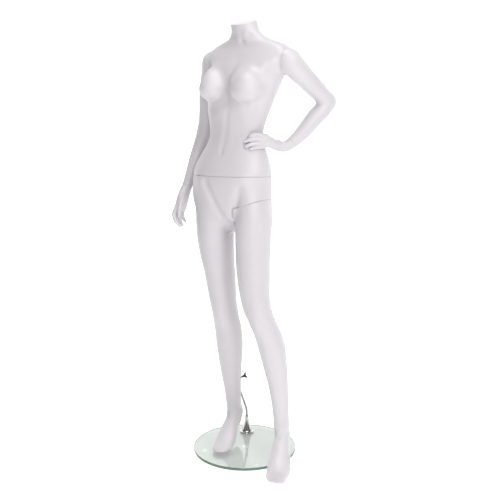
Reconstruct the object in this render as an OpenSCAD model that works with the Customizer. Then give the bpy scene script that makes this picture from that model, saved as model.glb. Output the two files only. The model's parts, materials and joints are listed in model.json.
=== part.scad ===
// Headless full-body mannequin on a round glass base, in millimetres.
// Origin: centre of the base, on the floor. The figure faces -Y, its left side is +X, +Z is up.

/* [Stand] */
// Diameter of the glass disc
base_d = 400; // [380:5:420]
// Thickness of the glass disc
glass_t = 10; // [8:1:11]
// Diameter of the flange rim
flange_d = 58; // [50:1:64]
// Height of the flange cone
flange_h = 70; // [60:1:80]
// Diameter of the calf rod
rod_d = 10; // [9:0.5:12]
// Depth of the rod inside the calf socket
rod_reach = 130; // [110:5:140]

/* [Shells] */
// Wall of the moulded shells
wall = 4; // [3:0.5:5]
// Open joint line where two shells meet
seam_gap = 0.6; // [0.4:0.1:1]
// Turn of an arm that frees its lock bar
arm_unlock = 60; // [45:5:75]
// Turn of the left leg that frees its lock bar
leg_unlock = 15; // [12:1:20]

/* [Waist fitting] */
// Diameter of the waist peg
peg_d = 20; // [16:1:24]
// Height of the waist peg above its plate
peg_h = 70; // [50:5:80]
// Thickness of the waist plates
waist_plate_t = 8; // [6:1:10]

/* [Limb fittings] */
// Thickness of the thigh and shoulder plates
limb_plate_t = 5; // [4:0.5:6]
// Diameter of the hub in the thigh fitting
leg_hub_d = 20; // [18:1:24]
// Diameter of the hub in a shoulder fitting
arm_hub_d = 16; // [14:1:18]
// Diameter of a wrist peg
wrist_peg_d = 8; // [7:0.5:9]

/* [Clamp screw] */
// Diameter of the clamp screw
screw_d = 6; // [5:0.5:7]
// Span of the wing head
wing_span = 24; // [20:1:28]

/* [Node] */
// Name of the node to show, or all

/* [Hidden] */

white = [0.88, 0.87, 0.89];
chrome = [0.75, 0.76, 0.78];
steel = [0.6, 0.61, 0.63];
dark = [0.15, 0.15, 0.16];
glass = [0.7, 0.86, 0.8, 0.6];
resin = [0.8, 0.78, 0.7];

round_steps = 64;
fine_steps = 48;
run_gap = 0.05;      // radial clearance of a running fit
far = 600;           // larger than any section that a plane cuts

// Stand levels
glass_top = 14;
pad_h = glass_top - glass_t;
pad_d = 22;
pad_ring = 160;
gasket_t = 1;
flange_z = glass_top + gasket_t;
flange_at = [-56, 113];
hole_d = 12;
bolt_d = 6;
washer_t = 0.8;

// Calf rod: an upright foot, then a straight upper part that leans into the calf
rod_low = [flange_at[0], flange_at[1], flange_z + 2];
rod_bend = [flange_at[0], flange_at[1], 112];
rod_aim = [-75, 22, 330];
rod_dir = unit(rod_aim - rod_bend);
entry_z = 216;
rod_entry = rod_bend + rod_dir * (entry_z - rod_bend[2]) / rod_dir[2];
rod_end = rod_entry + rod_dir * rod_reach;
socket_wall = 2.5;
socket_plug = 6;

// Clamp screw: square to the rod, out of the back of the calf on its inner side
screw_z = 256;
screw_flat = [0.65, 0.76, 0];
screw_axis = unit(screw_flat - rod_dir * (screw_flat * rod_dir));
screw_root = rod_bend + rod_dir * (screw_z - rod_bend[2]) / rod_dir[2];
boss_r = 17;
screw_len = 34;
wing_at = 32;

// Seam planes: a point and the direction that leaves the trunk
waist_z = 1074;
thigh_at = [47, -9, 972];
thigh_dir = unit([sin(18), 0, -cos(18)]);
arm_tilt = 10;
left_at = [160, 26, 1484];
left_dir = [cos(arm_tilt), 0, -sin(arm_tilt)];
right_at = [-137, 24, 1488];
right_dir = [-cos(arm_tilt), 0, -sin(arm_tilt)];
neck_at = [1, -8, 1619];
neck_dir = unit([-0.04, -0.30, 1]);
neck_plate_t = 5;
neck_cap_a = 43;
neck_cap_b = 39;
left_wrist_at = [147, 91, 1193];
left_wrist_dir = unit([-16, -21, -20]);
right_wrist_at = [-247, -14, 1028];
right_wrist_dir = unit([-8, -16, -42]);
peg_at = [-52, 2];
pin_at = [40, 2];
pin_d = 8;

// Body sections: x, y, z, half width, depth in front, depth behind, squareness
TRUNK = [
  [-54, 8, 846, 20, 26, 34, 2], [-54, 6, 862, 52, 44, 60, 2], [-55, 5, 885, 92, 62, 82, 2.2],
  [-56, 4, 920, 128, 80, 98, 2.3], [-57, 3, 960, 150, 92, 108, 2.3],
  [-57, 2, 1000, 157, 98, 110, 2.3], [-56, 2, 1040, 157, 100, 106, 2.3],
  [-54, 2, 1074, 156, 98, 98, 2.3], [-52, 4, 1110, 150, 92, 86, 2.3],
  [-48, 8, 1150, 134, 84, 76, 2.2], [-44, 12, 1190, 113, 76, 70, 2.2],
  [-41, 15, 1225, 106, 74, 68, 2.15], [-39, 16, 1262, 110, 76, 70, 2.15],
  [-34, 17, 1305, 121, 82, 78, 2.2], [-24, 17, 1348, 129, 88, 88, 2.2],
  [-10, 17, 1391, 132, 92, 98, 2.3], [3, 17, 1430, 136, 90, 102, 2.4],
  [3, 19, 1465, 156, 82, 98, 2.6], [9, 21, 1490, 166, 72, 88, 2.6],
  [12, 22, 1515, 174, 60, 72, 2.3], [13, 20, 1534, 154, 52, 60, 2.1],
  [12, 14, 1550, 116, 47, 54, 2], [11, 8, 1566, 76, 45, 50, 2], [9, 0, 1585, 57, 45, 48, 2],
  [5, -5, 1605, 51, 45, 47, 2], [1, -12, 1645, 49, 44, 46, 2]];
RIGHT_LEG = [
  [-74, 48, 135, 29, 32, 32, 2.1], [-75, 40, 172, 29, 31, 30, 2.1],
  [-75, 33, 225, 33, 31, 34, 2.1], [-75, 24, 277, 38, 33, 42, 2.1],
  [-75, 16, 329, 43, 36, 50, 2.1], [-73, 9, 381, 48, 40, 57, 2.1],
  [-72, 2, 432, 51, 44, 60, 2.1], [-72, -4, 482, 51, 48, 56, 2.1],
  [-75, -12, 531, 49, 54, 49, 2.1], [-83, -15, 578, 49, 55, 52, 2.1],
  [-91, -14, 625, 51, 58, 58, 2.1], [-101, -13, 696, 54, 64, 66, 2.1],
  [-112, -14, 765, 60, 71, 73, 2.1], [-119, -14, 835, 66, 76, 80, 2.1],
  [-122, -10, 880, 68, 80, 86, 2.1], [-124, -4, 930, 67, 82, 100, 2.1],
  [-118, 0, 1000, 60, 76, 96, 2.1]];
LEFT_LEG = [
  [189, -48, 122, 29, 30, 30, 2.1], [189, -50, 150, 29, 32, 30, 2.1], [187, -49, 182, 29, 29, 28, 2.1],
  [183, -49, 228, 31, 29, 30, 2.1], [178, -50, 275, 34, 31, 34, 2.1],
  [172, -51, 320, 38, 33, 41, 2.1], [164, -53, 366, 43, 36, 48, 2.1],
  [156, -55, 411, 47, 40, 55, 2.1], [147, -57, 456, 50, 44, 58, 2.1],
  [134, -60, 501, 51, 48, 55, 2.1], [116, -66, 545, 51, 53, 50, 2.1],
  [95, -66, 589, 52, 55, 53, 2.1], [79, -58, 635, 54, 58, 58, 2.1],
  [68, -48, 696, 59, 64, 65, 2.1], [58, -36, 765, 62, 70, 72, 2.1],
  [53, -26, 830, 64, 76, 77, 2.1], [51, -20, 880, 66, 80, 82, 2.1],
  [48, -12, 930, 66, 82, 100, 2.1], [45, -6, 1000, 60, 82, 100, 2.1]];
left_leg_turn = 12;
wrist_peg_in = 15;    // depth of a wrist peg inside the hand
crotch_gap = 4;      // room beside the crotch for the left thigh to turn in

// Limb paths: x, y, z, half width, depth above, depth below
RIGHT_FOOT = [
  [-78, 100, 118, 12, 10, 12], [-77, 88, 114, 28, 30, 36], [-75, 68, 120, 31, 42, 54],
  [-72, 42, 112, 31, 42, 42], [-67, 12, 90, 33, 34, 30], [-62, -22, 64, 36, 26, 24],
  [-56, -54, 42, 40, 20, 20], [-50, -82, 32, 39, 15, 14.5], [-44, -106, 28, 35, 12, 11],
  [-39, -124, 26, 20, 7, 8]];
LEFT_FOOT = [
  [166, 16, 102, 12, 10, 12], [172, 4, 98, 28, 30, 34], [180, -18, 106, 32, 42, 52],
  [190, -46, 98, 33, 42, 42], [201, -76, 78, 36, 34, 30], [213, -108, 50, 39, 26, 24],
  [224, -138, 29, 43, 20, 20], [232, -163, 19, 41, 15, 14.5], [239, -186, 15, 36, 12, 11],
  [244, -204, 13, 22, 7, 8]];
LEFT_SHOULDER = [[110, 26, 1493, 30, 34, 34], [140, 26, 1487.5, 38, 42, 42],
  [160, 26, 1484, 40, 43, 43], [174, 26, 1481.5, 37, 40, 40], [186, 26, 1479.4, 28, 31, 31],
  [194, 26, 1478, 12, 14, 14]];
RIGHT_SHOULDER = [[-87, 24, 1496.8, 30, 34, 34], [-117, 24, 1491.5, 38, 42, 42],
  [-137, 24, 1488, 40, 43, 43], [-151, 24, 1485.5, 37, 40, 40], [-163, 24, 1483.4, 28, 31, 31],
  [-171, 24, 1482, 12, 14, 14]];
LEFT_UPPER = [[158, 2, 1499, 20, 22, 22], [166, 20, 1486, 36, 38, 38], [176, 42, 1468, 40, 42, 42],
  [184, 62, 1452, 39, 41, 41],
  [194, 93, 1431, 37, 38, 38], [208, 139, 1400, 34, 36, 36], [224, 188, 1366, 31, 33, 33],
  [233, 212, 1348, 29, 31, 31], [238, 226, 1338, 18, 20, 20]];
LEFT_FORE = [[244, 228, 1352, 16, 18, 18], [236, 214, 1342, 30, 32, 32],
  [222, 194, 1314, 31, 33, 33], [204, 168, 1284, 31, 32, 32], [183, 140, 1246, 28, 29, 29],
  [163, 112, 1213, 23, 25, 25], [147, 91, 1193, 20, 22, 22], [138, 79, 1182, 20, 22, 22]];
LEFT_PALM = [[156, 106, 1198, 20, 21, 21], [147, 91, 1193, 20, 22, 22], [134, 72, 1191, 17, 25, 25], [120, 50, 1192, 14, 31, 27],
  [106, 26, 1195, 13, 33, 27], [93, 6, 1197, 11, 30, 26], [86, -3, 1198, 6, 22, 18]];
LEFT_FINGERS = [
  [[92, 2, 1220, 8, 8, 8], [74, -26, 1222, 8, 8, 8], [54, -46, 1222, 7, 7, 7], [36, -60, 1220, 5, 5, 5]],
  [[92, 2, 1206, 8, 8, 8], [72, -28, 1208, 8, 8, 8], [48, -51, 1208, 7, 7, 7], [24, -65, 1206, 5, 5, 5]],
  [[92, 2, 1192, 8, 8, 8], [72, -27, 1193, 8, 8, 8], [50, -50, 1194, 7, 7, 7], [28, -64, 1194, 5, 5, 5]],
  [[92, 4, 1179, 7, 7, 7], [76, -20, 1179, 7, 7, 7], [60, -40, 1180, 6, 6, 6], [44, -54, 1181, 4.5, 4.5, 4.5]]];
LEFT_THUMB = [[132, 66, 1206, 9, 9, 9], [112, 70, 1217, 9, 9, 9], [94, 80, 1222, 8, 8, 8],
  [78, 92, 1222, 5, 5, 5]];
RIGHT_UPPER = [[-148, 28, 1504, 20, 22, 22], [-150, 28, 1490, 35, 38, 38], [-158, 32, 1458, 38, 41, 41],
  [-176, 44, 1420, 35, 40, 40], [-188, 52, 1386, 34, 39, 39], [-195, 59, 1350, 33, 37, 37],
  [-201, 61, 1290, 31, 34, 34], [-206, 57, 1240, 30, 33, 33], [-209, 52, 1216, 26, 28, 28]];
RIGHT_FORE = [[-202, 60, 1258, 24, 26, 26], [-206, 56, 1235, 30, 33, 33], [-216, 45, 1190, 30, 33, 33],
  [-230, 29, 1135, 27, 30, 30], [-241, 5, 1070, 22, 25, 25], [-247, -14, 1028, 19, 22, 22],
  [-250, -20, 1012, 19, 22, 22]];
RIGHT_PALM = [[-245, -9, 1042, 19, 22, 22], [-247, -14, 1028, 19, 22, 22], [-252, -22, 1006, 18, 28, 28],
  [-258, -30, 978, 17, 33, 33], [-262, -38, 950, 15, 34, 34], [-263, -42, 938, 8, 24, 24]];
RIGHT_FINGERS = [
  [[-264, -64, 946, 9, 9, 9], [-268, -74, 924, 9, 9, 9], [-261, -77, 900, 8, 8, 8], [-250, -75, 884, 5, 5, 5]],
  [[-265, -47, 946, 9, 9, 9], [-271, -56, 918, 9, 9, 9], [-264, -62, 892, 8, 8, 8], [-252, -61, 876, 5, 5, 5]],
  [[-264, -30, 946, 9, 9, 9], [-269, -38, 918, 9, 9, 9], [-263, -44, 893, 8, 8, 8], [-251, -44, 877, 5, 5, 5]],
  [[-262, -15, 948, 8, 8, 8], [-265, -22, 925, 8, 8, 8], [-259, -28, 904, 7, 7, 7], [-249, -29, 890, 4.5, 4.5, 4.5]]];
RIGHT_THUMB = [[-248, -46, 992, 10, 10, 10], [-245, -64, 964, 9, 9, 9], [-244, -74, 938, 8, 8, 8],
  [-243, -79, 918, 5, 5, 5]];

// Bust: centre of each side and its half width, depth and height
BUST = [[50, -54, 1388], [-94, -44, 1391]];
bust_size = [60, 68, 58];

// ---- Curves and lofts ----
function unit(v) = v / norm(v);
function power(v, n) = sign(v) * pow(abs(v), 2 / n);
function curve(a, b, c, d, t) =
  (2 * b + (c - a) * t + (2 * a - 5 * b + 4 * c - d) * t * t + (3 * b - a - 3 * c + d) * t * t * t) / 2;
function row(T, i) = i < 0 ? 2 * T[0] - T[1]
  : i >= len(T) ? 2 * T[len(T) - 1] - T[len(T) - 2] : T[i];
function smooth(T, n) = [
  for (i = [0:len(T) - 2]) for (k = [0:n - 1]) curve(row(T, i - 1), T[i], T[i + 1], row(T, i + 2), k / n),
  T[len(T) - 1]];
function spot(r) = [r[0], r[1], r[2]];

// One level ring of the trunk or of a leg, moved inward by a wall
function level_ring(s, n, inset, turn) = [for (j = [0:n - 1])
  let (t = 360 * j / n,
    u = (s[3] - inset) * power(cos(t), s[6]),
    v = (sin(t) < 0 ? s[4] - inset : s[5] - inset) * power(sin(t), s[6]),
    x = s[0] + u * cos(turn) - v * sin(turn),
    y = s[1] + u * sin(turn) + v * cos(turn))
  [x, y, s[2]]];

// Rings square to a path; the upward direction is carried along it without twist
function heading(S, i) = unit(spot(S[min(i + 1, len(S) - 1)]) - spot(S[max(i - 1, 0)]));
function carried(S, i, up) = i == 0 ? square_to(up, heading(S, 0))
  : square_to(carried(S, i - 1, up), heading(S, i));
function square_to(v, d) = unit(v - d * (v * d));
function path_rings(S, n, inset, up) = [for (i = [0:len(S) - 1])
  let (d = heading(S, i), u = carried(S, i, up), s = cross(u, d), r = S[i])
  [for (j = [0:n - 1]) let (t = 360 * j / n)
    spot(r) + s * ((r[3] - inset) * cos(t))
      + u * ((sin(t) > 0 ? r[4] - inset : r[5] - inset) * sin(t))]];

// A closed surface through a list of rings of equal length
module skin(R) {
  n = len(R[0]);
  m = len(R);
  polyhedron([for (r = R) for (p = r) p], concat(
    [[for (j = [0:n - 1]) j]], [[for (j = [n - 1:-1:0]) (m - 1) * n + j]],
    [for (i = [0:m - 2]) for (j = [0:n - 1]) let (k = (j + 1) % n) [i * n + j, (i + 1) * n + j, (i + 1) * n + k]],
    [for (i = [0:m - 2]) for (j = [0:n - 1]) let (k = (j + 1) % n) [i * n + j, (i + 1) * n + k, i * n + k]]));
}
module level_loft(T, n, steps, inset = 0, turn = 0) {
  skin([for (s = smooth(T, steps)) level_ring(s, n, inset, turn)]);
}
module path_loft(T, n, steps, up, inset = 0) {
  skin(path_rings(smooth(T, steps), n, inset, up));
}

// Everything on the side of a plane that its direction points to
module beyond(at, dir, start = 0) {
  on_plane(at + dir * start, dir) translate([-far / 2, -far / 2, 0]) cube(far);
}
module on_plane(at, dir) {
  translate(at) rotate([0, acos(dir[2]), atan2(dir[1], dir[0])]) children();
}
module oval(a, b, n = fine_steps) {
  polygon([for (j = [0:n - 1]) [a * cos(360 * j / n), b * sin(360 * j / n)]]);
}
module ring_tube(outer, inner, h) {
  difference() {
    cylinder(d = outer, h = h, $fn = round_steps);
    translate([0, 0, -1]) cylinder(d = inner, h = h + 2, $fn = round_steps);
  }
}

// ---- Stand ----
module base_pads() {
  color(dark) for (p = concat([[0, 0]], [for (k = [0:3]) pad_ring * [cos(90 * k + 45), sin(90 * k + 45)]]))
    translate([p[0], p[1], 0]) cylinder(d = pad_d, h = pad_h, $fn = round_steps);
}
module glass_base() {
  arris = 1;
  color(glass) difference() {
    translate([0, 0, pad_h]) rotate_extrude($fn = round_steps * 2) polygon([
      [0, 0], [base_d / 2 - arris, 0], [base_d / 2, arris], [base_d / 2, glass_t - arris],
      [base_d / 2 - arris, glass_t], [0, glass_t]]);
    translate([flange_at[0], flange_at[1], -1]) cylinder(d = hole_d, h = 30, $fn = round_steps);
  }
}
module glass_sleeve() {
  color(dark) translate([flange_at[0], flange_at[1], pad_h])
    ring_tube(hole_d - 0.2, bolt_d + 0.2, glass_t);
}
module flange_washer() {
  color(steel) translate([flange_at[0], flange_at[1], pad_h - washer_t])
    ring_tube(20, bolt_d + 0.2, washer_t);
}
module flange_bolt() {
  head_h = 2;
  color(steel) translate([flange_at[0], flange_at[1], pad_h - washer_t]) {
    difference() {
      translate([0, 0, -head_h]) cylinder(d = 14, h = head_h, $fn = round_steps);
      translate([0, 0, -head_h - 1]) cylinder(d = 5, h = 2, $fn = 6);
    }
    cylinder(d = bolt_d, h = glass_t + washer_t + gasket_t + 22, $fn = round_steps);
  }
}
module flange_gasket() {
  color(dark) translate([flange_at[0], flange_at[1], glass_top])
    ring_tube(flange_d - 4, hole_d, gasket_t);
}
module base_flange() {
  neck_r = rod_d / 2 + 1.2;
  color(chrome) difference() {
    translate([flange_at[0], flange_at[1], flange_z]) rotate_extrude($fn = round_steps) polygon(concat(
      [[0, 0], [flange_d / 2 - 1, 0], [flange_d / 2, 1], [flange_d / 2, 3], [flange_d / 2 - 2, 5]],
      [for (k = [0:10]) let (h = 5.5 + (flange_h - 5.5) * pow(k / 10, 1.5))
        [neck_r + (flange_d / 2 - 9 - neck_r) * exp(-3.6 * (h - 5.5) / flange_h * (1 + k / 12)), h]],
      [[0, flange_h]]));
    translate([flange_at[0], flange_at[1], flange_z - 1]) cylinder(d = bolt_d + 0.2, h = 10, $fn = round_steps);
    translate(rod_low) cylinder(d = rod_d + 2 * run_gap, h = flange_h + 10, $fn = round_steps);
    translate([flange_at[0], flange_at[1], flange_z + 12]) rotate([0, 90, 90])
      cylinder(d = 5 + 2 * run_gap, h = flange_d, $fn = fine_steps);
  }
}
module flange_grub() {
  color(dark) translate([flange_at[0], flange_at[1] + rod_d / 2, flange_z + 12]) rotate([-90, 0, 0])
    difference() {
      cylinder(d = 5, h = 7, $fn = fine_steps);
      translate([0, 0, 4]) cylinder(d = 2.8, h = 4, $fn = 6);
    }
}
module calf_rod() {
  knuckle = 1.2;
  color(chrome) difference() {
    union() {
      translate(rod_low) cylinder(d = rod_d, h = rod_bend[2] - rod_low[2] + knuckle, $fn = fine_steps);
      on_plane(rod_bend - rod_dir * knuckle, rod_dir)
        cylinder(d = rod_d, h = norm(rod_end - rod_bend) + knuckle, $fn = fine_steps);
    }
    translate(rod_low - [0, 0, 1]) cylinder(d = bolt_d + 2 * run_gap, h = 24, $fn = fine_steps);
  }
}

// ---- Shells ----
module foot(T, n, steps) {
  path_loft(T, n, steps, [0, 0, 1]);
}
module socket_bore(extra) {
  on_plane(rod_entry - rod_dir * 20, rod_dir)
    cylinder(d = rod_d + 2 * socket_wall + extra, h = rod_reach + socket_plug + 21, $fn = 24);
  on_plane(screw_root, screw_axis) cylinder(d = screw_d + 8 + extra, h = 60, $fn = 24);
}
module lower_body() {
  color(white) resize([0, 0, 0]) difference() {
    union() {
      level_loft([for (s = TRUNK) if (s[2] < 1120) s], 40, 2);
      level_loft(RIGHT_LEG, 30, 1);
      foot(RIGHT_FOOT, 24, 2);
      intersection() {
        level_loft([for (s = LEFT_LEG) if (s[2] > 820) s], 30, 1, 0, left_leg_turn);
        beyond(thigh_at, -thigh_dir);
      }
    }
    level_loft([for (s = TRUNK) if (s[2] > 870 && s[2] < 1120) s], 36, 1, wall);
    level_loft([for (s = RIGHT_LEG) if (s[2] > 140) s], 24, 1, wall);
    level_loft([for (s = LEFT_LEG) if (s[2] > 820) s], 24, 1, wall, left_leg_turn);
    beyond([0, 0, waist_z], [0, 0, 1], -seam_gap / 2);
    intersection() {
      beyond(thigh_at, thigh_dir, -seam_gap / 2);
      union() {
        level_loft([for (s = LEFT_LEG) if (s[2] > 700) s], 30, 1, -crotch_gap, left_leg_turn);
        translate([thigh_at[0] - 40, -far / 2, 700]) cube([far / 2, far, 400]);
      }
    }
    socket_bore(0.2);
  }
}
module left_leg() {
  color(white) resize([0, 0, 0]) difference() {
    union() {
      level_loft(LEFT_LEG, 30, 1, 0, left_leg_turn);
      foot(LEFT_FOOT, 24, 2);
    }
    level_loft([for (s = LEFT_LEG) if (s[2] > 160) s], 24, 1, wall, left_leg_turn);
    beyond(thigh_at, -thigh_dir, -seam_gap / 2);
  }
}
module upper_body() {
  color(white) resize([0, 0, 0]) difference() {
    union() {
      trunk_between_arms(0, 36, 2);
      path_loft(LEFT_SHOULDER, 28, 1, [0, 0, 1]);
      path_loft(RIGHT_SHOULDER, 28, 1, [0, 0, 1]);
    }
    trunk_between_arms(wall, 28, 1);
    path_loft([for (s = TRUNK) if (s[2] > 1490) [s[0], s[1], s[2], min(s[3], 49), 44, 46]], 24, 1, [0, 1, 0], wall);
    path_loft(LEFT_SHOULDER, 20, 1, [0, 0, 1], wall);
    path_loft(RIGHT_SHOULDER, 20, 1, [0, 0, 1], wall);
    beyond([0, 0, waist_z], [0, 0, -1], -seam_gap / 2);
    beyond(neck_at, neck_dir);
    neck_plug(0.2);
    arm_side(left_at, left_dir, -seam_gap / 2);
    arm_side(right_at, right_dir, -seam_gap / 2);
  }
}
// The arm's side of a shoulder seam, above the armpit
module arm_side(at, dir, start) {
  intersection() {
    beyond(at, dir, start);
    translate([-far / 2, -far / 2, 1402]) cube(far);
  }
}
module trunk_between_arms(inset, n, steps) {
  difference() {
    union() {
      level_loft([for (s = TRUNK) if (s[2] > 1030 && (inset == 0 || s[2] < 1500)) s], n, steps, inset);
      for (b = BUST) translate(b) scale(bust_size - inset * [1, 1, 1]) sphere(r = 1, $fn = 18);
    }
    arm_side(left_at, left_dir, inset > 0 ? -14 : 0);
    arm_side(right_at, right_dir, inset > 0 ? -14 : 0);
  }
}
module arm(shoulder, upper, fore, up, at, dir, wrist_at, wrist_dir) {
  color(white) resize([0, 0, 0]) difference() {
    union() {
      path_loft(shoulder, 28, 1, [0, 0, 1]);
      path_loft(upper, 28, 2, up);
      path_loft(fore, 24, 2, up);
    }
    path_loft(shoulder, 20, 1, [0, 0, 1], wall);
    path_loft(upper, 20, 1, up, wall);
    path_loft(fore, 20, 1, up, wall);
    beyond(at, -dir, -seam_gap / 2);
    beyond(wrist_at, wrist_dir, -seam_gap / 2);
  }
}
module left_arm() {
  arm(LEFT_SHOULDER, LEFT_UPPER, LEFT_FORE, [0, 0, 1], left_at, left_dir, left_wrist_at, left_wrist_dir);
}
module right_arm() {
  arm(RIGHT_SHOULDER, RIGHT_UPPER, RIGHT_FORE, [0, 1, 0], right_at, right_dir,
    right_wrist_at, right_wrist_dir);
}
module hand(palm, fingers, thumb, up, wrist_at, wrist_dir) {
  color(white) resize([0, 0, 0]) difference() {
    union() {
      path_loft(palm, 20, 2, up);
      for (f = fingers) path_loft(f, 10, 2, [0, 0, 1]);
      path_loft(thumb, 10, 2, [0, 0, 1]);
    }
    beyond(wrist_at, -wrist_dir, -seam_gap / 2);
    on_plane(wrist_at - wrist_dir * 5, wrist_dir)
      cylinder(d = wrist_peg_d + 0.3, h = 5 + wrist_peg_in + 0.3, $fn = 24);
  }
}
module left_hand() {
  hand(LEFT_PALM, LEFT_FINGERS, LEFT_THUMB, [0, 0, 1], left_wrist_at, left_wrist_dir);
}
module right_hand() {
  hand(RIGHT_PALM, RIGHT_FINGERS, RIGHT_THUMB, [0, 1, 0], right_wrist_at, right_wrist_dir);
}

// ---- Calf socket and clamp screw ----
module calf_socket() {
  color(steel) difference() {
    on_plane(rod_entry, rod_dir)
      cylinder(d = rod_d + 2 * socket_wall, h = rod_reach + socket_plug, $fn = fine_steps);
    on_plane(rod_entry - rod_dir, rod_dir)
      cylinder(d = rod_d + 2 * run_gap, h = rod_reach + 1, $fn = fine_steps);
    on_plane(screw_root, screw_axis) cylinder(d = screw_d + 1, h = 30, $fn = fine_steps);
  }
}
module screw_boss() {
  color(steel) difference() {
    on_plane(screw_root + screw_axis * (rod_d / 2 + 0.5), screw_axis)
      cylinder(d = screw_d + 8, h = boss_r - rod_d / 2, $fn = fine_steps);
    on_plane(rod_entry, rod_dir)
      cylinder(d = rod_d + 2 * socket_wall, h = rod_reach, $fn = fine_steps);
    on_plane(screw_root, screw_axis) cylinder(d = screw_d + 2 * run_gap, h = 60, $fn = fine_steps);
  }
}
module screw_shank() {
  color(dark) on_plane(screw_root + screw_axis * (rod_d / 2), screw_axis) {
    cylinder(d = screw_d, h = screw_len - rod_d / 2, $fn = fine_steps);
    translate([0, 0, wing_at - rod_d / 2 - 5]) cylinder(d = screw_d + 4, h = 4.5, $fn = fine_steps);
  }
}
module screw_wing() {
  hub_d = 11;
  color(dark) on_plane(screw_root + screw_axis * wing_at, screw_axis) {
    difference() {
      union() {
        cylinder(d = hub_d, h = 9, $fn = fine_steps);
        for (side = [0, 180]) rotate([0, 0, side]) rotate([90, 0, 0]) translate([0, 0, -1.5])
          linear_extrude(3) polygon([[hub_d / 2 - 2, 1], [wing_span / 2 - 2, 5], [wing_span / 2, 9],
            [wing_span / 2 - 1, 13], [wing_span / 2 - 4, 13.5], [hub_d / 2 - 2, 8]]);
      }
      translate([0, 0, -1]) cylinder(d = screw_d + 2 * run_gap, h = 5, $fn = fine_steps);
    }
  }
}

// ---- Waist fitting ----
function section_at(T, z) = let (i = max([for (k = [0:len(T) - 2]) if (T[k][2] <= z) k]))
  curve(row(T, i - 1), T[i], T[i + 1], row(T, i + 2), (z - T[i][2]) / (T[i + 1][2] - T[i][2]));
module waist_outline(z, inset) {
  polygon([for (p = level_ring(section_at(TRUNK, z), 40, inset, 0)) [p[0], p[1]]]);
}
module waist_plate_lower() {
  color(resin) difference() {
    translate([0, 0, waist_z - seam_gap / 2 - waist_plate_t]) linear_extrude(waist_plate_t)
      waist_outline(waist_z, wall + 1.5);
    translate([peg_at[0], peg_at[1], waist_z - 60]) cylinder(d = peg_d + 2 * run_gap, h = 100, $fn = round_steps);
    translate([pin_at[0], pin_at[1], waist_z - 60]) cylinder(d = pin_d + 2 * run_gap, h = 100, $fn = fine_steps);
    plate_screw_places() cylinder(d = 4, h = 60, center = true, $fn = 24);
  }
}
module plate_screw_places() {
  for (k = [0:3]) translate([peg_at[0], peg_at[1], waist_z]) rotate([0, 0, 45 + 90 * k])
    translate([peg_d / 2 + 9, 0, 0]) children();
}
module waist_peg() {
  foot_h = 5;
  base = waist_z - seam_gap / 2 - waist_plate_t;
  color(steel) translate([peg_at[0], peg_at[1], 0]) {
    translate([0, 0, base - foot_h]) cylinder(d = peg_d + 8, h = foot_h, $fn = round_steps);
    translate([0, 0, base - foot_h]) cylinder(d = peg_d, h = foot_h + waist_plate_t + seam_gap / 2 + peg_h - 3, $fn = round_steps);
    translate([0, 0, waist_z + peg_h - 3]) cylinder(d1 = peg_d, d2 = peg_d - 6, h = 3, $fn = round_steps);
  }
}
module waist_pin() {
  base = waist_z - seam_gap / 2 - waist_plate_t;
  color(steel) translate([pin_at[0], pin_at[1], base]) {
    cylinder(d = pin_d, h = waist_plate_t + 18, $fn = fine_steps);
    translate([0, 0, waist_plate_t + 18]) cylinder(d1 = pin_d, d2 = pin_d - 3, h = 2, $fn = fine_steps);
  }
}
module lower_plate_screws() {
  color(steel) plate_screw_places() {
    difference() {
      translate([0, 0, -seam_gap / 2 - waist_plate_t - 3]) cylinder(d = 8, h = 3, $fn = fine_steps);
      translate([0, 0, -seam_gap / 2 - waist_plate_t - 4]) cylinder(d = 3, h = 2.5, $fn = 6);
    }
    translate([0, 0, -seam_gap / 2 - waist_plate_t]) cylinder(d = 3.8, h = waist_plate_t - 1, $fn = fine_steps);
  }
}
module waist_plate_upper() {
  color(resin) difference() {
    translate([0, 0, waist_z + seam_gap / 2]) linear_extrude(waist_plate_t)
      waist_outline(waist_z + waist_plate_t, wall + 1.5);
    translate([peg_at[0], peg_at[1], waist_z - 60])
      cylinder(d = peg_d + 2 * socket_wall + 2 * run_gap + 0.2, h = 100, $fn = round_steps);
    translate([pin_at[0], pin_at[1], waist_z - 60]) cylinder(d = pin_d + 0.4, h = 100, $fn = fine_steps);
    plate_screw_places() cylinder(d = 4, h = 60, center = true, $fn = 24);
  }
}
module waist_socket() {
  base = waist_z + seam_gap / 2;
  color(steel) translate([peg_at[0], peg_at[1], 0]) difference() {
    union() {
      translate([0, 0, base]) cylinder(d = peg_d + 2 * socket_wall + 2 * run_gap, h = peg_h + 12, $fn = round_steps);
      translate([0, 0, base + waist_plate_t]) cylinder(d = peg_d + 26, h = 3, $fn = round_steps);
    }
    translate([0, 0, base - 1]) cylinder(d = peg_d + 2 * run_gap, h = peg_h + 5, $fn = round_steps);
    translate([-peg_at[0], -peg_at[1], 0]) plate_screw_places() cylinder(d = 4, h = 60, center = true, $fn = 24);
  }
}
module upper_plate_screws() {
  color(steel) plate_screw_places() translate([0, 0, seam_gap / 2 + waist_plate_t + 3]) {
    difference() {
      cylinder(d = 7, h = 3, $fn = fine_steps);
      translate([0, 0, 1]) cylinder(d = 3, h = 3, $fn = 6);
    }
    translate([0, 0, -waist_plate_t - 2]) cylinder(d = 3.8, h = waist_plate_t + 2, $fn = fine_steps);
  }
}

// ---- Neck ----
module neck_cap() {
  color(white) neck_plug(0);
}
module neck_plug(extra) {
  on_plane(neck_at - neck_dir * neck_plate_t, neck_dir) linear_extrude(neck_plate_t + extra)
    rotate(90 - atan2(neck_dir[1], neck_dir[0])) oval(neck_cap_a + extra, neck_cap_b + extra);
}

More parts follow.
